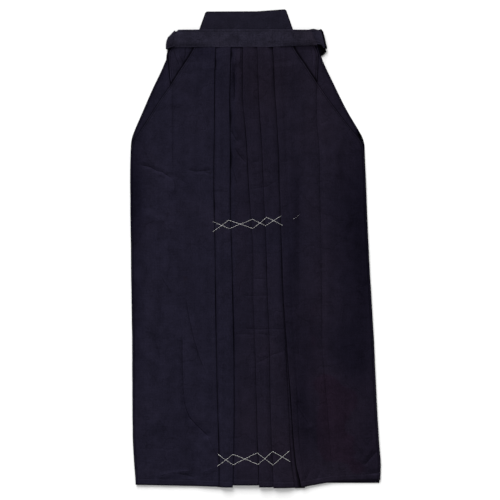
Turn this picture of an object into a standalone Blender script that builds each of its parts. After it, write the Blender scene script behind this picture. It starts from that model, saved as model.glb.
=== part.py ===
"""Hakama trousers of dark indigo cotton, laid flat with the front side up.

The waist points to +Y and the floor is z = 0. Left and right are as seen from above. Every cloth
piece is one sheet of points, in rows down the cloth, that is given its wall by moving the points
out along both sides. Heights along the garment are called up and run from the hem to the waist.
Sizes are in millimetres until wall() turns them into metres.
"""

import math

import bpy
import numpy as np

MM = 0.001

# Cloth and the air between its layers
CLOTH = 1.0
STRAP = 1.4
BOARD = 3.0
GAP = 0.3
LAYER = CLOTH + GAP

# Waist, hem and slits
BAND_TOP = 472.8
BAND_BOTTOM = 435.0
HEM = -512.0
HEM_ZONE = -440.0

# Pleats
FOLD_DEPTH = 18.0
SLIPPED_DEPTH = 9.0
BACK_DEPTH = 44.0
TURN_STEPS = 3

# Ties
LEFT_RUN = (-194.0, -155.0)
RIGHT_RUN = (99.0, 138.0)
BACK_RUNS = {"left": (-139.5, -101.5), "right": (58.0, 96.0)}
FRONT_STRAP_LOW = -350.0
FRONT_STRAP_END = {"left": 335.0, "right": 372.0}
BACK_STRAP_TOP = 419.6
BACK_STRAP_LOW = -255.0
ONE_STRAP = STRAP + GAP
TWO_STRAPS = 2 * ONE_STRAP

# Board: left and right ends and height of its base, then ends and heights of its top
BOARD_BASE = (-142.0, 99.0, 420.0)
BOARD_TOP = (-107.7, 64.6, 511.5, 515.8)
BOARD_CORNER = 4.0

# The front's lines across, at heights down the garment
FRONT_NAMES = ("up", "side_left", "fold_1", "fold_2", "fold_3", "fold_4", "fold_5", "fold_6", "side_right")
FRONT_LINES = (
    (470.0, -124.0, -87.5, -54.5, -28.6, 2.8, 36.0, 36.8, 72.0),
    (435.0, -132.0, -87.7, -54.5, -28.6, 2.8, 36.0, 36.8, 80.3),
    (353.0, -184.8, -89.8, -56.6, -28.6, 5.4, 39.8, 40.6, 135.7),
    (321.0, -208.0, -90.0, -57.3, -28.6, 6.5, 41.8, 42.6, 157.2),
    (278.0, -235.5, -90.3, -57.1, -24.3, 9.0, 44.8, 45.6, 190.6),
    (228.0, -268.5, -90.8, -56.4, -20.0, 12.6, 47.6, 48.4, 232.0),
    (210.0, -269.6, -91.2, -56.2, -18.8, 13.6, 48.6, 49.4, 233.8),
    (149.0, -270.3, -91.5, -56.2, -15.9, 15.9, 50.2, 51.0, 237.4),
    (73.0, -270.1, -90.7, -56.0, -11.0, 19.0, 52.6, 53.4, 239.1),
    (-2.0, -268.8, -88.7, -53.0, -6.2, 22.4, 55.4, 56.2, 243.2),
    (-110.0, -267.5, -87.9, -50.8, -5.6, 25.6, 58.8, 59.8, 249.4),
    (-218.0, -266.0, -86.2, -48.5, -1.7, 29.7, 64.2, 67.2, 255.5),
    (-325.0, -265.6, -83.6, -47.4, 1.5, 31.0, 70.0, 75.4, 260.2),
    (-411.0, -265.2, -81.2, -48.2, 3.4, 33.6, 73.2, 81.0, 264.9),
    (-465.0, -261.7, -80.6, -49.5, 5.8, 36.2, 76.7, 86.6, 269.6),
    (-512.0, -258.2, -80.2, -50.2, 6.9, 38.1, 85.0, 98.6, 268.0),
)
FRONT_ROWS = (466.0, 450.0, 443.0, 435.0, 412.0, 390.0, 353.0, 321.0, 278.0, 228.0, 208.0, 149.0, 73.0, -2.0)
FRONT_ROWS += (-110.0, -218.0, -325.0, -368.0, -411.0, -440.0, -475.0, HEM)

# The back's side edges, which are the garment's outline above the slits' lower ends
BACK_NAMES = ("up", "side_left", "side_right")
BACK_LINES = (
    (460.0, -187.0, 133.0),
    (434.0, -187.0, 133.5),
    (420.0, -188.0, 139.0),
    (412.0, -193.5, 141.5),
    (402.0, -196.5, 145.5),
    (385.0, -203.7, 153.3),
    (342.5, -224.8, 174.3),
    (299.0, -243.5, 196.0),
    (256.0, -262.3, 222.0),
    (234.0, -270.5, 234.4),
    (200.0, -270.0, 235.0),
    (149.0, -270.3, 237.4),
    (-2.0, -268.8, 243.2),
    (-218.0, -266.0, 255.5),
    (-411.0, -265.2, 264.9),
    (-465.0, -261.7, 269.6),
    (-512.0, -259.0, 266.0),
)
BACK_ROWS = (446.0, 434.0, 420.0, 412.0, 402.0, 385.0, 342.5, 299.0, 256.0, 234.0, 149.0, -2.0, -218.0)
BACK_ROWS += (-268.0, -298.0, -363.0, -405.0, -460.0, -506.0)

# The back's top edge over the board: its height, and how far inside the board's base it starts
BACK_TOP_MIDDLE = 434.4
BACK_TOP_INSET = 18.0

# Hem heights under each part of the front
HEM_LEFT = (-508.8, -512.5)
HEM_STRIP_2 = -513.6
HEM_CENTRE = -509.4
HEM_STRIP_3 = -513.4
HEM_STRIP_4 = -515.0
HEM_SLIPPED = -515.8
HEM_RIGHT = ((96.0, -514.2), (168.0, -501.7), (268.0, -498.0))
HEM_HIDDEN = -507.0
HEM_BACK = -505.0

# The side tucks' outer edges, and how far they reach under the front
TUCK_NAMES = ("up", "outer_left", "inner_left", "outer_right", "inner_right")
TUCK_LINES = (
    (448.0, -164.0, -125.0, 116.0, 74.0),
    (433.5, -188.5, -112.0, 132.5, 62.0),
    (414.0, -189.0, -112.0, 134.0, 62.0),
    (380.0, -186.5, -118.0, 132.8, 72.0),
    (350.0, -182.5, -130.0, 131.0, 86.0),
    (322.0, -176.0, -150.0, 127.0, 104.0),
)

# Creases of the front: points along each, how wide and how high it stands, below zero for a trough
CREASES = (
    ("right_long", ((135.0, 400.0), (138.0, 180.0), (142.0, -60.0), (151.0, -330.0), (166.0, -500.0)), 9.0, -1.1),
    ("left_long", ((-154.0, -95.0), (-144.0, -140.0), (-133.0, -180.0), (-122.0, -220.0), (-106.0, -265.0)), 12.0, 1.3),
    ("left_low", ((-153.0, -336.0), (-140.0, -375.0), (-118.0, -398.0), (-99.0, -406.0)), 11.0, -1.2),
    ("left_top", ((-250.0, 181.0), (-220.0, 172.0), (-190.0, 160.0), (-172.0, 134.0)), 12.0, 1.2),
)

# Colours as linear values, and how rough the cloth is
INDIGO = (0.0125, 0.0110, 0.0205)
INDIGO_BAND = (0.0170, 0.0145, 0.0260)
CLOTH_ROUGHNESS = 0.9


def smooth(value):
    """Ease from 0 to 1 as the value does."""
    value = np.clip(value, 0.0, 1.0)
    return value * value * (3.0 - 2.0 * value)


def plateau(value, low, high, ramp):
    """1 between low and high, easing to 0 over the ramp on either side."""
    return smooth(np.minimum((value - low) / ramp, (high - value) / ramp) + 1.0)


def line(table, names, name, up):
    """One line's place across at a height, read from a table that runs from the waist down."""
    heights = [row[0] for row in reversed(table)]
    places = [row[names.index(name)] for row in reversed(table)]
    return float(np.interp(up, heights, places))


def front_line(name, up):
    return line(FRONT_LINES, FRONT_NAMES, name, up)


def centre(up):
    """The garment's middle, which leans a little to the right on its way down."""
    return float(np.interp(up, (HEM, BAND_TOP), (2.0, -21.5)))


def strap_hill(across, up, grow):
    """How high the folded ties under the back lift it. grow widens the hill for an upper layer."""
    low = FRONT_STRAP_LOW - 5.0 - grow
    left = plateau(across, LEFT_RUN[0] - grow, LEFT_RUN[1] + grow, 22.0)
    right = plateau(across, RIGHT_RUN[0] - grow, RIGHT_RUN[1] + 14.0 + grow, 22.0)
    one = plateau(up, low, 600.0, 40.0) * ONE_STRAP
    two = plateau(up, low, FRONT_STRAP_END["left"] + 5.0 + grow, 30.0) * TWO_STRAPS
    heights = [left * np.maximum(one, two), right * plateau(up, low, 600.0, 40.0) * TWO_STRAPS]
    for low_edge, high_edge in BACK_RUNS.values():
        run = plateau(across, low_edge - grow, high_edge + grow, 12.0)
        heights.append(run * plateau(up, BACK_STRAP_LOW - 5.0 - grow, 600.0, 30.0) * ONE_STRAP)
    return np.max(heights, axis=0)


def board_hill(across, up, grow):
    """How high the board lifts what lies on its lower part."""
    wide = plateau(across, BOARD_BASE[0] - grow, BOARD_BASE[1] + grow, 16.0)
    return wide * plateau(up, BOARD_BASE[2] - 1.0 - 0.3 * grow, 600.0, 22.0) * (BOARD + GAP)


def ground(across, up, grow):
    return np.maximum(strap_hill(across, up, grow), board_hill(across, up, grow))


def back_top(across, up):
    """The top of the back panels, with their pleats, made a little wide for the front to clear."""
    reach = 12.0 + BACK_DEPTH + 8.0
    pleats = plateau(across, centre(up) - reach, centre(up) + reach, 34.0) * 2 * LAYER
    tops = plateau(up, -900.0, 435.0, 8.0)
    return ground(across, up, 22.0) + CLOTH + pleats * tops


def tuck_lift(across, up, side):
    """How high a side tuck lifts the front above it."""
    inner = line(TUCK_LINES, TUCK_NAMES, "inner_" + side, up)
    towards = 1.0 if side == "left" else -1.0
    beyond = (across - inner) * towards
    return (1.0 - smooth((beyond - 3.0) / 18.0)) * plateau(up, 318.0, 600.0, 26.0) * (LAYER + GAP)


def crease(across, up):
    """The height that the front's largest creases add. A trough has soft banks, so it stays clear below."""
    total = 0.0
    for _, points, width, height in CREASES:
        heights = [point[1] for point in reversed(points)]
        middle = np.interp(up, heights, [point[0] for point in reversed(points)])
        ends = plateau(up, heights[0] + 25.0, heights[-1] - 25.0, 25.0)
        total += height * ends * np.exp(-(((across - middle) / width) ** 2))
        if height < 0:
            total -= height * ends * np.exp(-(((across - middle) / (3.0 * width)) ** 2))
    return total


def front_base(across, up):
    """The lowest level of the front panels."""
    gussets = plateau(across, centre(up) - 66.0, centre(up) + 66.0, 30.0) * plateau(up, -900.0, -14.0, 40.0)
    band = plateau(up, 437.0, 900.0, 6.0) * LAYER
    tucks = tuck_lift(across, up, "left") + tuck_lift(across, up, "right")
    return back_top(across, up) + 2 * GAP + gussets * LAYER + band + tucks


class Section:
    """One row across a pleated panel: points across, their height above the floor, and the hem."""

    def __init__(self, up, base, creased=False):
        self.up = up
        self.base = base
        self.creased = creased
        self.points = []

    def run(self, *stops):
        """Points on the cloth, each with its place across, its layer and its hem."""
        for across, level, hem in stops:
            height = self.base(across, self.up) + CLOTH / 2 + level * LAYER
            if self.creased:
                height += crease(across, self.up) * smooth(1.0 - level / 2)
            self.points.append((across, height, hem))

    def turn(self, fold, facing, level_from, level_to, hem):
        """A fold whose outside is at fold, pointing left (-1) or right (1)."""
        radius = LAYER / 2
        middle = fold_middle(fold, facing)
        height = self.base(middle, self.up) + CLOTH / 2 + LAYER * (level_from + level_to) / 2
        falls = 1.0 if level_from > level_to else -1.0
        for step in range(1, TURN_STEPS):
            angle = math.pi * (0.5 - step / TURN_STEPS) * falls
            across = middle + facing * radius * math.cos(angle)
            self.points.append((across, height + radius * math.sin(angle), hem))

    def row(self):
        """The row's points in space, with the rows near the hem stretched to each part's own hem."""
        out = []
        for across, height, hem in self.points:
            up = self.up
            if up < HEM_ZONE:
                up = HEM_ZONE + (up - HEM_ZONE) * (hem - HEM_ZONE) / (HEM - HEM_ZONE)
            out.append((across, up, height))
        return out


def fold_middle(fold, facing):
    """Where a fold's turn has its centre across."""
    return fold - facing * (LAYER + CLOTH) / 2


def spread(start, end, parts):
    """Fractions of a way, without its end."""
    return [start + (end - start) * part for part in parts]


def left_front_row(up):
    """Outer panel, first pleat, second strip, second pleat, middle strip, from the side inwards."""
    side = front_line("side_left", up)
    fold_1, fold_2, fold_3 = (front_line(name, up) for name in ("fold_1", "fold_2", "fold_3"))
    section = Section(up, front_base, creased=True)
    rise_end = fold_1 - FOLD_DEPTH - 2.0
    rise_start = rise_end - min(32.0, 0.8 * (rise_end - side))

    def left_hem(across):
        return float(np.interp(across, (-258.0, -80.0), HEM_LEFT))

    for across in spread(side, rise_start, (0.0, 0.06, 0.16, 0.28, 0.4, 0.52, 0.64, 0.76, 0.88)):
        section.run((across, 0.0, left_hem(across)))
    for part in (0.0, 0.25, 0.5, 0.75, 1.0):
        across = rise_start + (rise_end - rise_start) * part
        section.run((across, 2.0 * float(smooth(part)), left_hem(across)))
    section.run((fold_1 - 8.0, 2.0, left_hem(-88.0)), (fold_middle(fold_1, 1), 2.0, left_hem(-80.0)))
    section.turn(fold_1, 1, 2, 1, left_hem(-80.0))
    inner = fold_1 - FOLD_DEPTH
    section.run((fold_middle(fold_1, 1), 1.0, HEM_HIDDEN), (fold_middle(inner, -1), 1.0, HEM_HIDDEN))
    section.turn(inner, -1, 1, 0, HEM_HIDDEN)
    rise_end = fold_2 - FOLD_DEPTH - 2.0
    section.run((fold_middle(inner, -1), 0.0, HEM_HIDDEN), (fold_1 - 3.0, 0.0, HEM_STRIP_2))
    for part in (0.0, 0.33, 0.67, 1.0):
        across = fold_1 + 1.5 + (rise_end - fold_1 - 1.5) * part
        section.run((across, 2.0 * float(smooth(part)), HEM_STRIP_2))
    section.run((fold_2 - 9.0, 2.0, HEM_STRIP_2), (fold_middle(fold_2, 1), 2.0, HEM_STRIP_2))
    section.turn(fold_2, 1, 2, 1, HEM_STRIP_2)
    inner = fold_2 - FOLD_DEPTH
    section.run((fold_middle(fold_2, 1), 1.0, HEM_HIDDEN), (fold_middle(inner, -1), 1.0, HEM_HIDDEN))
    section.turn(inner, -1, 1, 0, HEM_HIDDEN)
    section.run((fold_middle(inner, -1), 0.0, HEM_HIDDEN), (fold_2 - 3.0, 0.0, HEM_CENTRE))
    for across in spread(fold_2 + 1.5, fold_3 + FOLD_DEPTH - 2.0, (0.0, 0.2, 0.45, 0.7, 1.0)):
        section.run((across, 0.0, HEM_CENTRE))
    return section.row()


def right_front_row(up):
    """The three right pleats and the outer right panel, from the middle outwards."""
    names = ("fold_3", "fold_4", "fold_5", "fold_6", "side_right")
    fold_3, fold_4, fold_5, fold_6, side = (front_line(name, up) for name in names)
    section = Section(up, front_base, creased=True)
    section.run((fold_3 + FOLD_DEPTH - 2.0, 1.0, HEM_HIDDEN), (fold_middle(fold_3, -1), 1.0, HEM_HIDDEN))
    strips = ((fold_3, fold_4, HEM_STRIP_3), (fold_4, fold_5, HEM_STRIP_4))
    for fold, following, hem in strips:
        section.turn(fold, -1, 1, 2, hem)
        section.run((fold_middle(fold, -1), 2.0, hem), (fold + 10.0, 2.0, hem))
        for part in (0.0, 0.33, 0.67, 1.0):
            start = fold + FOLD_DEPTH + 2.0
            section.run((start + (following - 1.5 - start) * part, 2.0 * (1.0 - float(smooth(part))), hem))
        inner = following + FOLD_DEPTH
        section.run((following + 3.0, 0.0, hem), (fold_middle(inner, 1), 0.0, HEM_HIDDEN))
        section.turn(inner, 1, 0, 1, HEM_HIDDEN)
        section.run((fold_middle(inner, 1), 1.0, HEM_HIDDEN), (fold_middle(following, -1), 1.0, HEM_HIDDEN))
    section.turn(fold_5, -1, 1, 2, HEM_SLIPPED)
    inner = fold_6 + SLIPPED_DEPTH
    section.run((fold_middle(fold_5, -1), 2.0, HEM_SLIPPED), (fold_middle(inner, 1), 2.0, HEM_SLIPPED))
    section.turn(inner, 1, 2, 3, HEM_HIDDEN)
    section.run((fold_middle(inner, 1), 3.0, HEM_HIDDEN), (fold_middle(fold_6, -1), 3.0, HEM_HIDDEN))

    def right_hem(across):
        return float(np.interp(across, *zip(*HEM_RIGHT)))

    section.turn(fold_6, -1, 3, 4, right_hem(fold_6))
    section.run((fold_middle(fold_6, -1), 4.0, right_hem(fold_6)), (inner + 2.0, 4.0, right_hem(inner)))
    ledge = fold_5 + FOLD_DEPTH + 2.0
    shelf = min(inner + 2.0 + 10.0, ledge)
    section.run(((inner + 2.0 + shelf) / 2, 3.0, right_hem(shelf)), (shelf, 2.0, right_hem(shelf)))
    start = max(ledge, shelf + 1.0)
    fall_end = start + min(34.0, 0.8 * (side - start))
    for part in (0.0, 0.25, 0.5, 0.75, 1.0):
        across = start + (fall_end - start) * part
        section.run((across, 2.0 * (1.0 - float(smooth(part))), right_hem(across)))
    for across in spread(fall_end, side, (0.1, 0.2, 0.3, 0.4, 0.5, 0.62, 0.76, 0.9, 1.0)):
        section.run((across, 0.0, right_hem(across)))
    return section.row()


def back_row(up, side):
    """A back panel from its side seam to the centre seam, with one pleat towards the centre."""
    towards = 1.0 if side == "left" else -1.0
    edge = line(BACK_LINES, BACK_NAMES, "side_" + side, up)
    middle = centre(up)
    fold = middle - towards * 12.0
    inner = fold - towards * BACK_DEPTH
    section = Section(up, lambda across, height: ground(across, height, 8.0))
    stop = inner - towards * 10.0
    for across in spread(edge, stop, (0.0, 0.08, 0.17, 0.26, 0.35, 0.44, 0.53, 0.62, 0.71, 0.8, 0.9, 1.0)):
        section.run((across, 0.0, HEM_BACK))
    for across in spread(inner, fold_middle(fold, towards), (0.3, 0.7, 1.0)):
        section.run((across, 0.0, HEM_BACK))
    section.turn(fold, towards, 0, 1, HEM_BACK)
    section.run((fold_middle(fold, towards), 1.0, HEM_BACK), ((fold + inner) / 2, 1.0, HEM_BACK))
    section.run((fold_middle(inner, -towards), 1.0, HEM_BACK))
    section.turn(inner, -towards, 1, 2, HEM_BACK)
    section.run((fold_middle(inner, -towards), 2.0, HEM_BACK), ((fold + inner) / 2, 2.0, HEM_BACK))
    section.run((fold, 2.0, HEM_BACK), (middle - towards * GAP / 2, 2.0, HEM_BACK))
    points = section.row()
    if side == "right":
        points.reverse()
    return points


def back_rows(side):
    """The back's rows. In the middle its top edge ends below the band, at the sides it goes into it."""
    rows = [back_row(up, side) for up in BACK_ROWS]
    low, high = BOARD_BASE[0] + BACK_TOP_INSET, BOARD_BASE[1] - BACK_TOP_INSET
    top = [(a, BACK_TOP_MIDDLE if low < a < high else up, h) for a, up, h in rows[0]]
    return [top] + rows[1:]


def unit(vectors):
    length = np.linalg.norm(vectors, axis=-1, keepdims=True)
    return vectors / np.maximum(length, 1e-12)


def outward(sheet):
    """Each point's direction out of the sheet, lengthened at bends so that the wall keeps its thickness."""
    one_way = sheet[1:, 1:] - sheet[:-1, :-1]
    other_way = sheet[:-1, 1:] - sheet[1:, :-1]
    faces = np.pad(unit(np.cross(one_way, other_way)), ((1, 1), (1, 1), (0, 0)))
    around = np.array([faces[:-1, :-1], faces[:-1, 1:], faces[1:, :-1], faces[1:, 1:]])
    normals = unit(around.sum(axis=0))
    met = np.linalg.norm(around, axis=-1, keepdims=True)
    lean = (around * normals).sum(axis=-1, keepdims=True).sum(axis=0) / met.sum(axis=0)
    return normals / np.maximum(lean, 0.75)


def material(name, colour, roughness=CLOTH_ROUGHNESS):
    """A plain finish for one piece."""
    finish = bpy.data.materials.new(name)
    finish.use_nodes = True
    shader = finish.node_tree.nodes["Principled BSDF"]
    shader.inputs["Base Color"].default_value = (*colour, 1.0)
    shader.inputs["Roughness"].default_value = roughness
    shader.inputs["Metallic"].default_value = 0.0
    finish.diffuse_color = (*colour, 1.0)
    return finish


def wall(name, rows, thickness, colour):
    """One closed body from a sheet of points: both faces, and an edge all round."""
    sheet = np.array(rows, float)
    normals = outward(sheet) * thickness / 2
    count_down, count_along = sheet.shape[:2]
    points = np.concatenate([(sheet + normals).reshape(-1, 3), (sheet - normals).reshape(-1, 3)])
    top = np.arange(count_down * count_along).reshape(count_down, count_along)
    under = top + top.size
    faces = []
    for i in range(count_down - 1):
        for j in range(count_along - 1):
            faces.append((top[i, j], top[i, j + 1], top[i + 1, j + 1], top[i + 1, j]))
            faces.append((under[i, j], under[i + 1, j], under[i + 1, j + 1], under[i, j + 1]))
    ring = [(0, j) for j in range(count_along)] + [(i, count_along - 1) for i in range(1, count_down)]
    ring += [(count_down - 1, j) for j in range(count_along - 2, -1, -1)]
    ring += [(i, 0) for i in range(count_down - 2, 0, -1)]
    for here, there in zip(ring, ring[1:] + ring[:1]):
        faces.append((top[there], top[here], under[here], under[there]))
    mesh = bpy.data.meshes.new(name)
    mesh.from_pydata((points * MM).tolist(), [], [[int(i) for i in face] for face in faces])
    if signed_volume(mesh) < 0:
        mesh.flip_normals()
    mesh.materials.append(material(name + "_cloth", colour))
    piece = bpy.data.objects.new(name, mesh)
    bpy.context.scene.collection.objects.link(piece)
    mesh.shade_smooth()
    mesh.set_sharp_from_angle(angle=math.radians(50.0))
    return piece


def signed_volume(mesh):
    """The mesh's volume, below zero when its faces point inwards."""
    mesh.calc_loop_triangles()
    total = 0.0
    for triangle in mesh.loop_triangles:
        a, b, c = (mesh.vertices[i].co for i in triangle.vertices)
        total += a.dot(b.cross(c)) / 6
    return total


def tuck_rows(side):
    """A side tuck's sheet, from the waist down, on the back panel and under the front."""
    rows = []
    for up in (448.0, 440.0, 433.5, 424.0, 414.0, 397.0, 380.0, 365.0, 350.0, 336.0, 322.0):
        outer = line(TUCK_LINES, TUCK_NAMES, "outer_" + side, up)
        inner = line(TUCK_LINES, TUCK_NAMES, "inner_" + side, up)
        row = []
        for across in spread(outer, inner, (0.0, 0.12, 0.25, 0.4, 0.55, 0.7, 0.85, 1.0)):
            band = plateau(up, 437.0, 900.0, 6.0) * LAYER
            height = back_top(across, up) + GAP + 0.1 + band + CLOTH / 2
            row.append((across, up, float(height)))
        rows.append(row if side == "left" else row[::-1])
    return rows


def gusset_rows(side):
    """A gusset's sheet: narrow at the crotch and wide at the hem, on the back panel's pleat."""
    towards = -1.0 if side == "left" else 1.0
    rows = []
    for up in (-38.0, -110.0, -218.0, -325.0, -411.0, -470.0, -504.0):
        middle = centre(up)
        near = middle + towards * 3.0
        far = middle + towards * float(np.interp(up, (-504.0, -38.0), (52.0, 12.0)))
        height = CLOTH / 2 + GAP + 2 * LAYER + CLOTH
        row = [(across, up, height) for across in (near, (near + far) / 2, far)]
        rows.append(row if side == "right" else row[::-1])
    return rows


BAND_ACROSS = (-176.0, -160.0, -140.0, -120.0, -110.0, -99.0, -84.0, -66.0, -48.0, -28.0, -10.0, 8.0, 24.0, 34.0)
BAND_ACROSS += (42.0, 52.0, 64.0, 78.0, 94.0, 110.0, 125.0)
BAND_LEFT_SLANT = (-168.0, -184.0)
BAND_RIGHT_SLANT = (117.0, 134.0)
BAND_LEVELS = ((-200.0, 0.0), (-150.0, 0.3), (-128.0, 2.0), (24.0, 2.0), (31.0, 4.0), (54.0, 4.0), (66.0, 2.2))
BAND_LEVELS += ((84.0, 0.8), (134.0, 0.0))
BAND_UPS = (443.0, 450.0, 460.0)


def band_bottom(across):
    """The band's lower edge, which rises a little at its right end."""
    return float(np.interp(across, (-194.0, 34.0, 132.0), (BAND_BOTTOM, BAND_BOTTOM, 439.5)))


def band_place(across, up):
    """The place across of a point of the band, whose two ends are cut on a slant."""
    share = (up - BAND_BOTTOM) / (BAND_TOP - BAND_BOTTOM)
    if across == BAND_ACROSS[0]:
        return BAND_LEFT_SLANT[1] + (BAND_LEFT_SLANT[0] - BAND_LEFT_SLANT[1]) * share
    if across == BAND_ACROSS[-1]:
        return BAND_RIGHT_SLANT[1] + (BAND_RIGHT_SLANT[0] - BAND_RIGHT_SLANT[1]) * share
    return across


def band_front(across, up):
    """The height of the band's front wall, over the pleats."""
    level = float(np.interp(across, *zip(*BAND_LEVELS)))
    return float(front_base(across, up)) + CLOTH + level * LAYER + 2 * GAP + CLOTH / 2


def band_back(across, up):
    """The height of the band's back wall, on the back panel or the board."""
    return float(back_top(across, up)) + GAP + 0.1 + CLOTH / 2


def band_rows():
    """The band's sheet: its front wall, the turn over the panels' top edges, and its back wall."""
    columns = []
    for across in BAND_ACROSS:
        radius = (band_front(across, 460.0) - band_back(across, 460.0)) / 2
        turn_up = BAND_TOP - radius - CLOTH / 2
        top = band_place(across, BAND_TOP)
        column = []
        for up in (band_bottom(across), *BAND_UPS, turn_up):
            place = band_place(across, up)
            column.append((place, up, band_front(place, min(up, 460.0))))
        front, back = band_front(top, 460.0), band_back(top, 460.0)
        for step in range(1, 6):
            angle = math.pi * (0.5 - step / 6)
            reach = turn_up + radius * math.cos(angle)
            column.append((top, reach, (front + back) / 2 + (front - back) / 2 * math.sin(angle)))
        for up in (turn_up, 450.0, 443.0):
            place = band_place(across, up)
            column.append((place, up, band_back(place, up)))
        columns.append(column)
    return [list(row) for row in zip(*columns)]


def ribbon_row(first, second, height, parts=(0.0, 0.33, 0.67, 1.0)):
    """A straight row across a tie, between its two edges."""
    return [(*(np.array(first) * (1 - part) + np.array(second) * part), height) for part in parts]


def fold_over(edge, outwards, height_from, height_to, thickness=STRAP, steps=6):
    """Rows of a tie that wraps round a line of edge points, each bulging along its own direction."""
    radius = abs(height_from - height_to) / 2
    middle_height = (height_from + height_to) / 2
    falls = 1.0 if height_from > height_to else -1.0
    rows = []
    for step in range(steps + 1):
        angle = math.pi * (0.5 - step / steps) * falls
        row = []
        for (across, up), (out_x, out_y) in zip(edge, outwards):
            reach = radius * math.cos(angle) - radius - thickness / 2
            height = middle_height + radius * math.sin(angle)
            row.append((across + out_x * reach, up + out_y * reach, height))
        rows.append(row)
    return rows


def straight_edge(first, second, parts=(0.0, 0.33, 0.67, 1.0)):
    return [tuple(np.array(first) * (1 - part) + np.array(second) * part) for part in parts]


def level_run(rows_up, run, height, flipped=False):
    """Rows of a tie that lies straight up and down."""
    left, right = (run[1], run[0]) if flipped else run
    return [ribbon_row((left, up), (right, up), height) for up in rows_up]


STRAP_LOW = STRAP / 2
STRAP_HIGH = ONE_STRAP + STRAP / 2
LEFT_CURL = ((-175.0, 472.5), (-187.5, 463.0), (-193.3, 450.0), (-194.0, 432.0))
LEFT_OUT = ((-0.5, 0.87), (-0.72, 0.69), (-0.97, 0.26), (-1.0, 0.0))
RIGHT_FOLD = ((139.4, 474.5), (154.6, 432.0))
RIGHT_OUT = (0.94, 0.34)
SECOND_FOLD = ((138.0, 464.0), (99.6, 397.0))
SECOND_OUT = (-0.87, 0.49)


def bottom_fold(run, flipped):
    """The hairpin at a front tie's lower end, from the lower to the upper layer."""
    left, right = (run[1], run[0]) if flipped else run
    edge = straight_edge((left, FRONT_STRAP_LOW), (right, FRONT_STRAP_LOW))
    return fold_over(edge, [(0.0, -1.0)] * 4, STRAP_LOW, STRAP_HIGH, steps=4)


def left_strap_rows():
    """From the band's left end, round the waist's corner, down, and back up to its free end."""
    start = band_front(-172.0, 460.0) + 0.2
    rows = [ribbon_row((BAND_LEFT_SLANT[0] - 1.4, 471.0), (BAND_LEFT_SLANT[1] - 0.4, 435.0), start)]
    rows += fold_over(LEFT_CURL, LEFT_OUT, start, STRAP_LOW)
    run = LEFT_RUN[::-1]
    rows.append(ribbon_row((run[0] - 8.0, 440.0), (run[1] + 0.6, 418.0), STRAP_LOW))
    rows += level_run((400.0, 250.0, 100.0, -50.0, -200.0, -300.0), LEFT_RUN, STRAP_LOW, flipped=True)
    rows += bottom_fold(LEFT_RUN, flipped=True)
    ups = (-300.0, -200.0, -50.0, 100.0, 250.0, FRONT_STRAP_END["left"])
    return rows + level_run(ups, LEFT_RUN, STRAP_HIGH, flipped=True)


def right_strap_rows():
    """From the band's right end, looped back, turned down, and back up to its free end."""
    start = band_front(120.0, 460.0) + 0.2
    rows = [ribbon_row((BAND_RIGHT_SLANT[0] + 0.6, 472.3), (BAND_RIGHT_SLANT[1] + 0.4, 440.0), start)]
    rows += fold_over(straight_edge(*RIGHT_FOLD), [RIGHT_OUT] * 4, start, STRAP_HIGH)
    rows += fold_over(straight_edge(*SECOND_FOLD), [SECOND_OUT] * 4, STRAP_HIGH, STRAP_LOW, steps=4)
    rows += level_run((385.0, 250.0, 100.0, -50.0, -200.0, -300.0), RIGHT_RUN, STRAP_LOW, flipped=True)
    rows += bottom_fold(RIGHT_RUN, flipped=True)
    ups = (-300.0, -200.0, -50.0, 100.0, 250.0, FRONT_STRAP_END["right"])
    return rows + level_run(ups, RIGHT_RUN, STRAP_HIGH, flipped=True)


def back_strap_rows(side):
    ups = (BACK_STRAP_TOP, 300.0, 150.0, 0.0, -150.0, BACK_STRAP_LOW)
    return level_run(ups, BACK_RUNS[side], STRAP_LOW)


def make_board():
    """The stiff back board: a flat trapezoid with small round corners at its top."""
    left_low, right_low, base = BOARD_BASE
    left_top, right_top, top_left_up, top_right_up = BOARD_TOP
    outline = [(left_low, base), (right_low, base)]
    corners = (((right_low, base), (right_top, top_right_up), (left_top, top_left_up)),)
    corners += (((right_top, top_right_up), (left_top, top_left_up), (left_low, base)),)
    for before, corner, after in corners:
        corner = np.array(corner)
        towards = unit(np.array(before) - corner) * BOARD_CORNER
        away = unit(np.array(after) - corner) * BOARD_CORNER
        for part in (0.0, 0.25, 0.5, 0.75, 1.0):
            point = corner + towards * (1 - part) ** 2 + away * part**2
            outline.append(tuple(point))
    mesh = bpy.data.meshes.new("back_board")
    count = len(outline)
    points = [(x * MM, y * MM, 0.0) for x, y in outline] + [(x * MM, y * MM, BOARD * MM) for x, y in outline]
    faces = [list(range(count))[::-1], list(range(count, 2 * count))]
    faces += [[i, (i + 1) % count, (i + 1) % count + count, i + count] for i in range(count)]
    mesh.from_pydata(points, [], faces)
    mesh.materials.append(material("back_board_cloth", INDIGO_BAND))
    piece = bpy.data.objects.new("back_board", mesh)
    bpy.context.scene.collection.objects.link(piece)
    rounding = piece.modifiers.new("rounded_edges", "BEVEL")
    rounding.width = 0.5 * MM
    rounding.segments = 2
    rounding.limit_method = "ANGLE"
    rounding.angle_limit = math.radians(60.0)
    return piece


def clear_scene():
    for piece in list(bpy.data.objects):
        bpy.data.objects.remove(piece)


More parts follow.
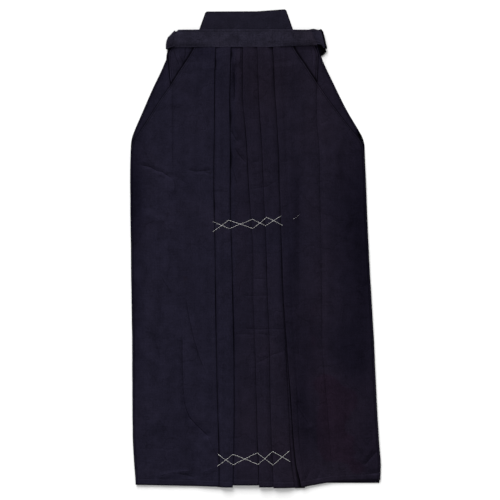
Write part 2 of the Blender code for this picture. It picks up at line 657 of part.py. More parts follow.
def main():
    clear_scene()
    wall("front_left", [left_front_row(up) for up in FRONT_ROWS], CLOTH, INDIGO)
    wall("front_right", [right_front_row(up) for up in FRONT_ROWS], CLOTH, INDIGO)
    for side in ("left", "right"):
        wall("back_" + side, back_rows(side), CLOTH, INDIGO)
        wall("side_tuck_" + side, tuck_rows(side), CLOTH, INDIGO)
        wall("gusset_" + side, gusset_rows(side), CLOTH, INDIGO)
        wall("back_strap_" + side, back_strap_rows(side), STRAP, INDIGO_BAND)
    wall("front_band", band_rows(), CLOTH, INDIGO_BAND)
    wall("front_strap_left", left_strap_rows(), STRAP, INDIGO_BAND)
    wall("front_strap_right", right_strap_rows(), STRAP, INDIGO_BAND)
    make_board()


main()
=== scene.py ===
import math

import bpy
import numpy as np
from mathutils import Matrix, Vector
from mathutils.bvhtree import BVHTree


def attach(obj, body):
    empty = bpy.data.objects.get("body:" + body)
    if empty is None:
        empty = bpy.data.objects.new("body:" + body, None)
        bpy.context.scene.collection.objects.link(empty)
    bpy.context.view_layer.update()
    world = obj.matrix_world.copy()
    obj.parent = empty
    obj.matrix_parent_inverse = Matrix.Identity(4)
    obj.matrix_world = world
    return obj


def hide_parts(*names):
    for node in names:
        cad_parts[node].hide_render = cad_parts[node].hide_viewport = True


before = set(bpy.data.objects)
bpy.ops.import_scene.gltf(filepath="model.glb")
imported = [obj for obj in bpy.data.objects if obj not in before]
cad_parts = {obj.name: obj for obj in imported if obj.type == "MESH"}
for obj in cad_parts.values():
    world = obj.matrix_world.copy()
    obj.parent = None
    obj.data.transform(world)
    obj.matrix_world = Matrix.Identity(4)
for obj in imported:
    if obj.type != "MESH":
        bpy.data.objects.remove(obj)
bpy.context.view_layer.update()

# %% [markdown]
# # Hakama trousers, laid flat with the front side up
# The object is a pair of wide pleated trousers in dark indigo cotton. They are a flat stack of cloth:
# two front panels with pleats on two back panels, a band and a stiff board at the waist, and the ties
# folded away behind. A cloth simulation would have to fall into exactly these folds, so each panel is
# built as what a tailor lays down: rows of points across the cloth, which run over and under each pleat.

MM = 0.001
FAR = 400.0


def clear_selection():
    """Nothing stays selected, so that the next operator acts on its own piece only."""
    bpy.ops.object.select_all(action="DESELECT")


clear_selection()

# %% [markdown]
# ## Camera, floor and light
# The garment was looked at from straight above, from far away, so a long lens two and a half metres up
# gives nearly no perspective. The floor is a plain pale sheet. The light comes from beyond the waist and
# a little from the left, as wide and soft as a cloudy window. A second light from the same side stands
# lower, to draw the pleats and leave the soft shadow below the hem. Each is a sun lamp with a wide disc,
# which lights the whole floor evenly.

# %% The camera straight above
VIEW_CENTRE = (-12.9, -2.2)
VIEW_WIDTH = 1077.0
CAMERA_UP = 2600.0
camera_data = bpy.data.cameras.new("camera")
camera_data.sensor_width = 36.0
camera_data.lens = 36.0 * (CAMERA_UP - 8.0) / VIEW_WIDTH
camera = bpy.data.objects.new("camera", camera_data)
camera.location = (VIEW_CENTRE[0] * MM, VIEW_CENTRE[1] * MM, CAMERA_UP * MM)
bpy.context.scene.collection.objects.link(camera)
bpy.context.scene.camera = camera
print("the lens is", round(camera_data.lens, 1), "mm long")


# %% The light and the pale floor
def soft_light(name, comes_from, strength, disc):
    """Even light from one direction. The disc is how wide its source looks, in degrees."""
    light = bpy.data.lights.new(name, "SUN")
    light.energy, light.angle = strength, math.radians(disc)
    lamp = bpy.data.objects.new(name, light)
    lamp.rotation_euler = (-Vector(comes_from)).to_track_quat("-Z", "Y").to_euler()
    bpy.context.scene.collection.objects.link(lamp)
    return lamp


soft_light("window_light", (-0.32, 1.0, 0.72), 2.9, 34.0)
soft_light("low_light", (-0.12, 1.0, 0.24), 1.5, 24.0)
world = bpy.data.worlds.new("pale_room")
world.use_nodes = True
world.node_tree.nodes["Background"].inputs["Color"].default_value = (1.0, 1.0, 1.0, 1.0)
world.node_tree.nodes["Background"].inputs["Strength"].default_value = 0.56
bpy.context.scene.world = world
bpy.context.scene.view_settings.view_transform = "Standard"

bpy.ops.mesh.primitive_plane_add(size=9.0, location=(0.0, 0.0, -0.0003))
floor = bpy.context.object
floor.name = "floor"
paper = bpy.data.materials.new("pale_floor")
paper.use_nodes = True
paper.node_tree.nodes["Principled BSDF"].inputs["Base Color"].default_value = (0.93, 0.93, 0.93, 1.0)
paper.node_tree.nodes["Principled BSDF"].inputs["Roughness"].default_value = 0.95
paper.node_tree.nodes["Principled BSDF"].inputs["Specular IOR Level"].default_value = 0.0
floor.data.materials.append(paper)
clear_selection()

# %% [markdown]
# ## The layers of the flat stack
# The ties lie lowest, on the floor. The back panels lie on them, then the gussets of the crotch, the
# tucks at the side slits, the front panels with their pleats, and on top the front band. Each layer has
# the height of what is below it, which is worked out from soft steps: a step is 1 on its plateau and
# eases to 0 over a ramp, as cloth does over an edge. The cloth that shows is thinner than its solid, and
# its pleats are pressed closer, so that their edges are as crisp as an iron leaves them.

# %% Thickness of the cloth, heights along the garment, and the soft steps
CLOTH, STRAP, BOARD, GAP = 1.0, 1.4, 3.0, 0.3
LAYER = CLOTH + GAP
LEAF, PRESSED = 0.6, 0.85
ONE_STRAP, TWO_STRAPS = STRAP + GAP, 2 * (STRAP + GAP)
BAND_TOP, BAND_BOTTOM = 472.8, 435.0
HEM, HEM_ZONE = -512.0, -440.0
FOLD_DEPTH, SLIPPED_DEPTH, BACK_DEPTH = 18.0, 9.0, 44.0
LEFT_RUN, RIGHT_RUN = (-194.0, -155.0), (99.0, 138.0)
BACK_RUNS = {"left": (-139.5, -101.5), "right": (58.0, 96.0)}
FRONT_STRAP_LOW, FRONT_STRAP_END = -350.0, {"left": 335.0, "right": 372.0}
BACK_STRAP_TOP, BACK_STRAP_LOW = 419.6, -255.0
BOARD_BASE, BOARD_TOP, BOARD_BEND = (-142.0, 99.0, 420.0), (-108.5, 64.6, 512.7, 517.6), (2.0, 513.2)


def smooth(value):
    value = np.clip(value, 0.0, 1.0)
    return value * value * (3.0 - 2.0 * value)


def plateau(value, low, high, ramp):
    """1 between low and high, easing to 0 over the ramp on either side."""
    return smooth(np.minimum((value - low) / ramp, (high - value) / ramp) + 1.0)


def fade(value, near, far):
    """1 up to near, easing to 0 at far."""
    return 1.0 - smooth((value - near) / (far - near))


def centre(up):
    """The garment's middle, which leans a little to the right on its way down."""
    return np.interp(up, (HEM, BAND_TOP), (2.0, -21.5))


# %% [markdown]
# ## Where the folds run
# Pressed folds are nearly straight, but not quite: each line is a short table of its places across at
# heights down the garment. A line between two rows of the table is averaged over a short reach, so that
# it bends softly there and doesn't kink.

# %% Tables of the folds, the side edges and the tucks, in millimetres
EASE = (-12.0, -4.0, 4.0, 12.0)


def lines(names, rows):
    columns = np.array(rows)[::-1].T
    return dict(zip(names, columns))


def line(table, name, up):
    return sum(np.interp(np.asarray(up) + reach, table["up"], table[name]) for reach in EASE) / len(EASE)


FRONT = lines(
    ("up", "side_left", "fold_1", "fold_2", "fold_3", "fold_4", "fold_5", "fold_6", "side_right"),
    (
        (470.0, -124.0, -87.5, -54.5, -28.6, 2.8, 36.0, 36.8, 72.0),
        (435.0, -132.0, -87.7, -54.5, -28.6, 2.8, 36.0, 36.8, 80.3),
        (353.0, -184.8, -89.8, -56.6, -28.6, 5.4, 39.8, 40.6, 135.7),
        (321.0, -208.0, -90.0, -57.3, -28.6, 6.5, 41.8, 42.6, 157.2),
        (278.0, -235.5, -90.3, -57.1, -24.3, 9.0, 44.8, 45.6, 190.6),
        (228.0, -268.5, -90.8, -56.4, -20.0, 12.6, 47.6, 48.4, 232.0),
        (210.0, -269.6, -91.2, -56.2, -18.8, 13.6, 48.6, 49.4, 233.8),
        (149.0, -270.3, -91.5, -56.2, -15.9, 15.9, 50.2, 51.0, 237.4),
        (73.0, -270.1, -90.7, -56.0, -11.0, 19.0, 52.6, 53.4, 239.1),
        (-2.0, -268.8, -88.7, -53.0, -6.2, 22.4, 55.4, 56.2, 243.2),
        (-110.0, -267.5, -87.9, -50.8, -5.6, 25.6, 58.8, 59.8, 249.4),
        (-218.0, -266.0, -86.2, -48.5, -1.7, 29.7, 64.2, 67.2, 255.5),
        (-325.0, -265.6, -83.6, -47.4, 1.5, 31.0, 70.0, 75.4, 260.2),
        (-411.0, -265.2, -81.2, -48.2, 3.4, 33.6, 73.2, 81.0, 264.9),
        (-465.0, -261.7, -80.6, -49.5, 5.8, 36.2, 76.7, 86.6, 269.6),
        (-512.0, -258.2, -80.2, -50.2, 6.9, 38.1, 85.0, 98.6, 268.0),
    ),
)
BACK = lines(
    ("up", "side_left", "side_right"),
    (
        (460.0, -187.0, 133.0),
        (434.0, -187.0, 133.5),
        (420.0, -188.0, 139.0),
        (412.0, -193.5, 141.5),
        (402.0, -196.5, 145.5),
        (385.0, -203.7, 153.3),
        (342.5, -224.8, 174.3),
        (299.0, -243.5, 196.0),
        (256.0, -262.3, 222.0),
        (234.0, -270.5, 234.4),
        (200.0, -270.0, 235.0),
        (149.0, -270.3, 237.4),
        (-2.0, -268.8, 243.2),
        (-218.0, -266.0, 255.5),
        (-411.0, -265.2, 264.9),
        (-465.0, -261.7, 269.6),
        (-512.0, -259.0, 266.0),
    ),
)
TUCK = lines(
    ("up", "outer_left", "inner_left", "outer_right", "inner_right"),
    (
        (448.0, -164.0, -125.0, 116.0, 74.0),
        (433.5, -188.5, -112.0, 132.5, 62.0),
        (414.0, -189.0, -112.0, 134.0, 62.0),
        (380.0, -186.5, -118.0, 132.8, 72.0),
        (350.0, -182.5, -130.0, 131.0, 86.0),
        (322.0, -176.0, -150.0, 127.0, 104.0),
    ),
)
HEM_LEFT = ((-258.0, -508.8), (-80.0, -512.5))
HEM_RIGHT = ((96.0, -514.2), (168.0, -501.7), (268.0, -498.0))
HEM_STRIP_2, HEM_CENTRE, HEM_STRIP_3, HEM_STRIP_4 = -513.6, -509.4, -513.4, -515.0
HEM_SLIPPED, HEM_HIDDEN, HEM_BACK = -515.8, -507.0, -505.0
print("the front is", round(FRONT["side_right"][0] - FRONT["side_left"][0]), "mm wide at the hem")


# %% Heights of the layers below the front
def strap_hill(across, up, grow):
    """How high the folded ties under the back lift it. grow widens the hill for an upper layer."""
    low = FRONT_STRAP_LOW - 5.0 - grow
    left = plateau(across, LEFT_RUN[0] - grow, LEFT_RUN[1] + grow, 22.0)
    right = plateau(across, RIGHT_RUN[0] - grow, RIGHT_RUN[1] + 14.0 + grow, 22.0)
    one = plateau(up, low, 600.0, 40.0) * ONE_STRAP
    two = plateau(up, low, FRONT_STRAP_END["left"] + 5.0 + grow, 30.0) * TWO_STRAPS
    heights = [left * np.maximum(one, two), right * plateau(up, low, 600.0, 40.0) * TWO_STRAPS]
    for low_edge, high_edge in BACK_RUNS.values():
        run = plateau(across, low_edge - grow, high_edge + grow, 12.0)
        heights.append(run * plateau(up, BACK_STRAP_LOW - 5.0 - grow, 600.0, 30.0) * ONE_STRAP)
    return np.max(heights, axis=0)


def ground(across, up, grow):
    wide = plateau(across, BOARD_BASE[0] - grow, BOARD_BASE[1] + grow, 16.0)
    board = wide * plateau(up, BOARD_BASE[2] - 1.0 - 0.3 * grow, 600.0, 22.0) * (BOARD + GAP)
    return np.maximum(strap_hill(across, up, grow), board)


def back_top(across, up):
    """The top of the back panels with their pleats, made a little wide for the front to clear."""
    reach = 12.0 + BACK_DEPTH + 8.0
    pleats = plateau(across, centre(up) - reach, centre(up) + reach, 34.0) * 2 * LAYER
    return ground(across, up, 22.0) + CLOTH + pleats * plateau(up, -900.0, 435.0, 8.0)


def tuck_lift(across, up, side):
    inner = line(TUCK, "inner_" + side, up)
    towards = 1.0 if side == "left" else -1.0
    beyond = (across - inner) * towards
    return (1.0 - smooth((beyond - 3.0) / 18.0)) * plateau(up, 318.0, 600.0, 26.0) * (LAYER + GAP)


def front_base(across, up):
    """The lowest level of the front panels, which start to rise early towards the board."""
    gussets = plateau(across, centre(up) - 66.0, centre(up) + 66.0, 30.0) * plateau(up, -900.0, -14.0, 40.0)
    band = plateau(up, 441.0, 900.0, 5.0) * LAYER
    tucks = tuck_lift(across, up, "left") + tuck_lift(across, up, "right")
    over_board = plateau(across, BOARD_BASE[0] - 22.0, BOARD_BASE[1] + 22.0, 16.0) * (BOARD + GAP)
    early = plateau(up, 412.4, 600.0, 80.0) - plateau(up, 412.4, 600.0, 22.0)
    return back_top(across, up) + 2 * GAP + gussets * LAYER + band + tucks + early * over_board


# %% [markdown]
# ## Creases
# Worn cotton keeps the marks of how it was folded and carried. A crease is a line of points with a
# width, a height for its ridge (below zero for a trough) and a height for a step, where one side of the
# line stands higher than the other. Each is placed one by one and none is like the next, because evenly
# repeated creases look like a pattern. A narrow crease also gets a sharp line, dark and lit on its two
# sides, which its finish draws from each point's distance to it.

# %% The creases: points along each, width, ridge and step
CREASES = (
    ("left_top", ((-250, 181), (-228, 176), (-213, 167), (-203, 166), (-190, 157), (-182, 152)), 4, -1.1, 0.5),
    ("left_top_fall", ((-182, 152), (-175, 140), (-176, 122)), 6, 0.8, 0.3),
    ("left_top_low", ((-192, 124), (-182, 112), (-177, 98)), 8, -0.7, 0.0),
    ("left_fan", ((-236, 84), (-222, 70), (-208, 62), (-196, 60)), 9, 0.8, 0.3),
    ("left_fan_low", ((-208, 72), (-192, 50), (-178, 40)), 7, 0.6, 0.3),
    ("left_glint", ((-146, 170), (-130, 166), (-110, 168), (-93, 169)), 3, -0.7, 0.3),
    ("left_short_top", ((-109, 387), (-98, 388), (-90, 390)), 3, 0.5, 0.3),
    ("left_short_mid", ((-110, 164), (-98, 160), (-91, 166)), 3, -0.4, 0.3),
    ("left_thin", ((-205, -56), (-194, -75), (-183, -90)), 4, 0.7, 0.3),
    ("left_long", ((-152, -100), (-143, -150), (-134, -190), (-122, -232), (-106, -270)), 5, -0.9, 0.4),
    ("left_upright", ((-158, -181), (-158, -243), (-156, -300), (-154, -330)), 5, -1.0, 0.4),
    ("left_low", ((-158, -318), (-152, -344), (-145, -363), (-129, -380), (-112, -397), (-97, -409)), 6, -2.6, 0.6),
    ("left_low_ridge", ((-106, -403), (-97, -420), (-91, -437)), 7, 0.9, 0.0),
    ("left_hem_1", ((-211, -490), (-181, -482), (-142, -479)), 5, 0.9, 0.6),
    ("left_hem_2", ((-168, -485), (-151, -489), (-134, -493)), 4, -0.9, 0.4),
    ("left_hem_3", ((-118, -483), (-103, -478), (-91, -472)), 4, 0.6, 0.4),
    ("left_imprint", ((-181, 353), (-181, 256), (-180, 170)), 5, 0.5, 0.4),
    ("left_rise", ((-192, 20), (-186, -14), (-190, -60)), 8, 0.5, 0.3),
    ("left_drift", ((-160, 60), (-150, 4), (-152, -52)), 10, 0.5, 0.3),
    ("left_wisp", ((-228, -180), (-212, -206), (-204, -250)), 6, -0.5, 0.3),
    ("left_bow", ((-176, -240), (-190, -282), (-184, -330)), 8, 0.6, 0.3),
    ("right_long", ((134, 403), (131, 321), (132, 267), (136, 235), (138, 181), (139, 106), (141, 9)), 5.5, -0.9, 0.3),
    (
        "right_long_low",
        ((141, 9), (143, -110), (143, -207), (148, -271), (155, -347), (164, -465), (168, -498)),
        7, -0.9, 0.3,
    ),
    ("right_soft", ((93, 192), (92, -45), (93, -282)), 9, -0.7, 0.2),
    ("right_short", ((140, 268), (150, 274), (160, 283)), 4, -0.3, 0.1),
    ("right_low", ((84, -328), (102, -358), (118, -383)), 8, -1.5, 0.6),
    ("right_ripple_1", ((106, -499), (112, -490), (117, -480)), 4, -0.6, 0.3),
    ("right_ripple_2", ((130, -500), (135, -490), (138, -480)), 4, -0.5, 0.3),
    ("right_corner", ((234, -468), (248, -452), (262, -436)), 4, -1.0, 0.5),
    ("right_corner_low", ((246, -486), (258, -484), (269, -482)), 4, -0.9, 0.4),
    ("right_drift", ((186, 236), (176, 196), (180, 150)), 9, 0.6, 0.3),
    ("right_wisp", ((206, 60), (196, 20), (204, -34)), 8, -0.5, 0.3),
    ("right_slope", ((178, -70), (190, -118), (186, -160)), 9, 0.6, 0.3),
    ("centre_top", ((-44, 400), (-46, 384), (-46, 364), (-45, 338), (-47, 316)), 6, -1.7, 0.3),
    ("centre_curve", ((-44, 405), (-46, 388), (-54, 370)), 7, 0.5, 0.2),
    ("centre_puff", ((-52, 412), (-51, 396), (-52, 380)), 6, 0.7, 0.0),
    ("centre_slant", ((-54, 254), (-43, 235), (-37, 230)), 4, -1.1, 0.4),
    ("centre_slant_2", ((-45, 215), (-37, 202), (-22, 185)), 4, -0.9, 0.3),
    ("centre_short", ((-51, 179), (-43, 153), (-39, 136)), 4, -0.8, 0.3),
    ("centre_seam", ((-35, 442), (-34, 420), (-36, 396)), 3, 0.9, 0.0),
    ("strip_arc", ((-13, 129), (22, 133), (50, 149)), 4, -0.3, 0.1),
    ("strip_dash", ((-9, 185), (0, 188), (7, 187)), 3, -0.3, 0.1),
    ("top_short", ((41, 405), (52, 408), (64, 411)), 3, 0.5, 0.3),
    ("strip_1", ((-30, -101), (-4, -102), (26, -100)), 3, -0.3, 0.1),
    ("strip_2", ((-4, -65), (22, -66)), 3, -0.3, 0.1),
    ("strip_3", ((-26, -172), (8, -174), (38, -172), (62, -174)), 3, -0.35, 0.1),
    ("strip_4", ((2, -183), (20, -185), (38, -188)), 3, -0.25, 0.1),
    ("strip_5", ((-44, -185), (-24, -184), (-6, -186)), 3, -0.25, 0.1),
    ("strip_slant", ((2, -246), (16, -240), (36, -228), (62, -220)), 3, -0.5, 0.1),
    ("outer_left_wave", ((-252, -20), (-226, -120), (-232, -250), (-214, -360)), 18, 0.8, 0.3),
    ("outer_right_wave", ((196, 150), (206, 20), (212, -140), (222, -290)), 20, 0.9, 0.4),
)
BACK_CREASES = (
    ("back_left_long", ((-236, 180), (-226, 30), (-232, -120), (-218, -270)), 12, 0.5, 0.3),
    ("back_left_short", ((-262, 120), (-226, 96), (-206, 60)), 8, 0.5, 0.3),
    ("back_left_low", ((-244, -400), (-190, -428), (-120, -420)), 10, 0.6, 0.4),
    ("back_right_long", ((176, 190), (186, 20), (180, -150), (196, -300)), 13, 0.5, 0.3),
    ("back_right_short", ((158, -60), (196, -92), (232, -84)), 8, 0.6, 0.3),
    ("back_right_low", ((110, -404), (170, -436), (246, -410)), 10, 0.6, 0.4),
    ("back_middle", ((-88, -290), (-40, -330), (20, -322)), 11, 0.5, 0.3),
)


LIGHT_SIDE = (-0.53, 0.85)


def crease_heights(creases, across, up):
    """The height that the creases add, each point's distance from the sharp line of the nearest crease,
    positive where the line is painted dark and negative where it is painted lit, and how sharp that line is."""
    total, line_near, sharp = np.zeros_like(across), np.full(across.shape, FAR), np.zeros_like(across)
    closest = np.full(across.shape, 1e9)
    for _, points, width, ridge, step in creases:
        points = np.array(points, float)
        nearest = np.full(across.shape, 1e9)
        profile, signed, ended = np.zeros_like(across), np.zeros_like(across), np.zeros_like(across)
        lengths = np.linalg.norm(np.diff(points, axis=0), axis=1)
        run, whole = 0.0, lengths.sum()
        for (start_x, start_y), (end_x, end_y), length in zip(points[:-1], points[1:], lengths):
            way_x, way_y = (end_x - start_x) / length, (end_y - start_y) / length
            along = np.clip((across - start_x) * way_x + (up - start_y) * way_y, 0.0, length)
            off_x, off_y = across - start_x - along * way_x, up - start_y - along * way_y
            far = np.hypot(off_x, off_y)
            side = off_x * way_y - off_y * way_x
            share = (run + along) / whole
            ends = smooth(np.clip(np.minimum(share, 1.0 - share) * 5.0 + 0.25, 0.0, 1.0))
            height = np.exp(-((far / width) ** 2)) * ends * (ridge + step * 1.6 * side / width)
            nearer = far < nearest
            profile, signed = np.where(nearer, height, profile), np.where(nearer, side, signed)
            ended, nearest = np.where(nearer, ends, ended), np.minimum(far, nearest)
            run += length
        total += profile
        way = points[-1] - points[0]
        lit = np.sign(way[1] * LIGHT_SIDE[0] - way[0] * LIGHT_SIDE[1]) * (-1.0 if ridge > 0 else 1.0)
        crisp = float(np.interp(width, (3.0, 5.0, 9.0, 12.0), (1.0, 0.85, 0.35, 0.0)))
        crisp *= min(max(abs(ridge), 0.5), 1.6)
        strength = ended * fade(nearest, 4.0, 12.0) * crisp
        closer = nearest < closest
        line_near, sharp = np.where(closer, signed * lit, line_near), np.where(closer, strength, sharp)
        closest = np.minimum(nearest, closest)
    return total, line_near, sharp


def lit_slope(creases, across, up):
    """How much the creases' sides face the light: above zero on the lit side of a ridge."""
    reach_x, reach_y = 3.0 * LIGHT_SIDE[0], 3.0 * LIGHT_SIDE[1]
    away = crease_heights(creases, across - reach_x, up - reach_y)[0]
    return (away - crease_heights(creases, across + reach_x, up + reach_y)[0]) / 6.0


def wave(value):
    """An uneven swing between about -1 and 1 that never repeats over the garment."""
    return (np.sin(value) + 0.6 * np.sin(2.3 * value + 1.3) + 0.4 * np.sin(4.7 * value + 0.4)) / 1.7


print(len(CREASES), "creases in front and", len(BACK_CREASES), "behind")

# %% [markdown]
# ## A panel as rows of points
# A row is drawn as if the cloth were cut across: along the flat, round a fold, back under it, round the
# hidden fold and on. Each point also notes how far it is from the fold it belongs to, from the fold that
# covers it and from the side edge. The finishes use these distances to draw stitching where a sewer would
# have it, painted shadows under the covering folds and along the edges, and a pale edge on each fold that
# is partly wear and partly a painted highlight; they stay right however the cloth is bent.

# %% How tightly each fold is pressed
# For each fold, how wide its painted shadow line is where it is pressed tight, then the places where it
# is wider: their height, how far they reach up and down, and how much they add.
GAPES = {
    "fold_1": (0.75, ((398.0, 10.0, 1.1), (92.0, 12.0, 0.7), (-120.0, 60.0, 0.4), (-440.0, 40.0, 0.5))),
    "fold_2": (0.9, ((418, 9, 1.5), (284, 16, 1.4), (196, 20, 1.8), (150, 14, 0.6), (-160, 90, 0.5))),
    "fold_3": (0.7, ((110.0, 40.0, 0.3), (-400.0, 60.0, 0.2))),
    "fold_4": (0.55, ((300.0, 50.0, 0.3), (-60.0, 50.0, 0.2))),
    "fold_5": (0.6, ((380.0, 60.0, 0.1), (150.0, 30.0, 0.3), (-60.0, 70.0, 0.5))),
    "fold_6": (0.8, ((-340.0, 60.0, 0.4), (-430.0, 30.0, 0.5), (-508.0, 46.0, 2.4))),
}


def gape(name, up):
    """How wide the painted shadow line under a fold is: pressed tight in most places, and open in a few."""
    least, places = GAPES[name]
    return least + sum(amount * np.exp(-(((up - middle) / tall) ** 2)) for middle, tall, amount in places)


# %% One row across a pleated panel
TURN_STEPS = 5
MARKS = ("across", "anchor", "rise", "hem", "fold", "under", "side", "loose")


class Row:
    def __init__(self):
        self.points = []

    def add(self, across, level, hem, fold=FAR, under=FAR, side=FAR, loose=0.0):
        self.points.append((across, across, level * PRESSED, hem, fold, under, side, loose))

    def turn(self, fold, facing, level_from, level_to, hem, seen=True):
        """A fold whose outside is at fold, pointing left (-1) or right (1)."""
        middle = fold_middle(fold, facing)
        falls = 1.0 if level_from > level_to else -1.0
        for step in range(1, TURN_STEPS):
            angle = math.pi * (0.5 - step / TURN_STEPS) * falls
            across = middle + facing * PRESSED / 2 * math.cos(angle)
            rise = PRESSED * (level_from + level_to) / 2 + PRESSED / 2 * math.sin(angle)
            share = 0.5 + 0.5 * math.sin(angle)
            near = abs(fold - across) if seen else FAR
            self.points.append((across, middle, rise, hem, near, FAR, FAR, 0.4 * share if seen else 0.0))


def fold_middle(fold, facing):
    return fold - facing * (PRESSED + LEAF) / 2


def even(start, end, count, last=True):
    return [start + (end - start) * i / (count - 1 if last else count) for i in range(count)]


# %% The left front: outer panel, first pleat, second strip, second pleat, middle strip
def left_front_row(up):
    side, fold_1, fold_2, fold_3 = (line(FRONT, n, up) for n in ("side_left", "fold_1", "fold_2", "fold_3"))
    side = side - 1.1 * fade(up, 225.0, 240.0)
    row = Row()
    rise_end = fold_1 - FOLD_DEPTH - 2.0
    rise_start = rise_end - min(32.0, 0.8 * (rise_end - side))
    places = even(side, side + 0.06 * (rise_start - side), 4, last=False)
    places += even(side + 0.06 * (rise_start - side), rise_start, 26, last=False)
    for across in places:
        hem = np.interp(across, *zip(*HEM_LEFT))
        row.add(across, 0.0, hem, fold_1 - across, FAR, across - side, 1.0)
    for across in even(rise_start, rise_end, 9):
        level = 2.0 * smooth((across - rise_start) / (rise_end - rise_start))
        row.add(across, level, np.interp(across, *zip(*HEM_LEFT)), fold_1 - across, FAR, across - side, 1.0)
    for across in even(rise_end + 3.0, fold_middle(fold_1, 1), 6):
        near = fold_1 - across
        row.add(across, 2.0, HEM_LEFT[1][1], near, FAR, across - side, 0.4 + 0.6 * smooth(near / 14.0))
    row.turn(fold_1, 1, 2, 1, HEM_LEFT[1][1])
    strip(row, fold_1, fold_2, HEM_STRIP_2, gape("fold_1", up))
    row.turn(fold_2, 1, 2, 1, HEM_STRIP_2)
    inner = fold_2 - FOLD_DEPTH
    row.add(fold_middle(fold_2, 1), 1.0, HEM_HIDDEN)
    row.add(fold_middle(inner, -1), 1.0, HEM_HIDDEN)
    row.turn(inner, -1, 1, 0, HEM_HIDDEN, seen=False)
    row.add(fold_middle(inner, -1), 0.0, HEM_HIDDEN)
    row.add(fold_2 - 3.0, 0.0, HEM_CENTRE, under=0.0)
    open_2, open_3 = gape("fold_2", up), gape("fold_3", up)
    for across in even(fold_2 - 0.5, fold_3 + FOLD_DEPTH - 2.0, 14):
        under = max(min((across - fold_2) / open_2, (fold_3 - across) / open_3), 0.0)
        row.add(across, 0.0, HEM_CENTRE, FAR, under, FAR, smooth(min(across - fold_2, fold_3 - across) / 7.0))
    return row.points


def strip(row, fold, following, hem, opened):
    """The hidden return of one pleat and the strip that shows up to the next fold on its right."""
    inner = fold - FOLD_DEPTH
    row.add(fold_middle(fold, 1), 1.0, HEM_HIDDEN)
    row.add(fold_middle(inner, -1), 1.0, HEM_HIDDEN)
    row.turn(inner, -1, 1, 0, HEM_HIDDEN, seen=False)
    row.add(fold_middle(inner, -1), 0.0, HEM_HIDDEN)
    row.add(fold - 3.0, 0.0, hem, under=0.0)
    rise_end = following - FOLD_DEPTH - 2.0
    for across in even(fold - 0.5, fold_middle(following, 1), 13):
        level = 2.0 * smooth((across - fold - 1.5) / (rise_end - fold - 1.5))
        loose = smooth((across - fold) / 7.0) * (0.4 + 0.6 * smooth((following - across) / 12.0))
        row.add(across, level, hem, following - across, max(across - fold, 0.0) / opened, FAR, loose)


# %% The right front: three pleats that face left, the slipped one, and the outer panel
def right_front_row(up):
    names = ("fold_3", "fold_4", "fold_5", "fold_6", "side_right")
    fold_3, fold_4, fold_5, fold_6, side = (line(FRONT, name, up) for name in names)
    row = Row()
    row.add(fold_3 + FOLD_DEPTH - 2.0, 1.0, HEM_HIDDEN)
    row.add(fold_middle(fold_3, -1), 1.0, HEM_HIDDEN)
    opens = [gape(name, up) for name in ("fold_4", "fold_5", "fold_6")]
    strips = ((fold_3, fold_4, HEM_STRIP_3, opens[0]), (fold_4, fold_5, HEM_STRIP_4, opens[1]))
    for fold, following, hem, opened in strips:
        row.turn(fold, -1, 1, 2, hem)
        start = fold + FOLD_DEPTH + 2.0
        for across in even(fold_middle(fold, -1), following + 0.5, 13):
            level = 2.0 * (1.0 - smooth((across - start) / (following - 1.5 - start)))
            loose = smooth((following - across) / 7.0) * (0.4 + 0.6 * smooth((across - fold) / 12.0))
            row.add(across, level, hem, across - fold, max(following - across, 0.0) / opened, FAR, loose)
        inner = following + FOLD_DEPTH
        row.add(following + 3.0, 0.0, hem, under=0.0)
        row.add(fold_middle(inner, 1), 0.0, HEM_HIDDEN)
        row.turn(inner, 1, 0, 1, HEM_HIDDEN, seen=False)
        row.add(fold_middle(inner, 1), 1.0, HEM_HIDDEN)
        row.add(fold_middle(following, -1), 1.0, HEM_HIDDEN)
    row.turn(fold_5, -1, 1, 2, HEM_SLIPPED)
    inner = fold_6 + SLIPPED_DEPTH
    for across in even(fold_middle(fold_5, -1), fold_middle(inner, 1), 6):
        row.add(across, 2.0, HEM_SLIPPED, across - fold_5, max(fold_6 - across, 0.0) / opens[2])
    row.turn(inner, 1, 2, 3, HEM_HIDDEN, seen=False)
    row.add(fold_middle(inner, 1), 3.0, HEM_HIDDEN)
    row.add(fold_middle(fold_6, -1), 3.0, HEM_HIDDEN)
    outer_panel(row, fold_5, fold_6, inner, side)
    return row.points


def outer_panel(row, fold_5, fold_6, inner, side):
    def hem(across):
        return np.interp(across, *zip(*HEM_RIGHT))

    row.turn(fold_6, -1, 3, 4, hem(fold_6))
    ledge = fold_5 + FOLD_DEPTH + 2.0
    shelf = min(inner + 12.0, ledge)
    start = max(ledge, shelf + 1.0)
    fall_end = start + min(34.0, 0.8 * (side - start))
    for across in even(fold_middle(fold_6, -1), inner + 2.0, 4):
        row.add(across, 4.0, hem(across), min(across - fold_6, 5.0), FAR, side - across, 0.4)
    for across in even(inner + 3.0, shelf, 4):
        level = 4.0 - 2.0 * smooth((across - inner - 2.0) / (shelf - inner - 2.0))
        row.add(across, level, hem(across), FAR, FAR, side - across, 0.5)
    for across in even(start, fall_end, 10):
        level = 2.0 * (1.0 - smooth((across - start) / (fall_end - start)))
        row.add(across, level, hem(across), FAR, FAR, side - across, 1.0)
    near_side = side - 0.06 * (side - fall_end)
    for across in even(fall_end, near_side, 26)[1:] + even(near_side, side, 5)[1:]:
        row.add(across, 0.0, hem(across), FAR, FAR, side - across, 1.0)


print("points across:", len(left_front_row(0.0)), "on the left and", len(right_front_row(0.0)), "on the right")

# %% [markdown]
# ## From rows to a closed cloth shell
# The rows make a sheet with no thickness. A closed shell comes from moving each point out along both
# sides and joining the rims, so the piece has a front, a back and a cut edge, as real cloth does. At a
# bend the two sides are moved a little further, or the cloth would look thinner there.

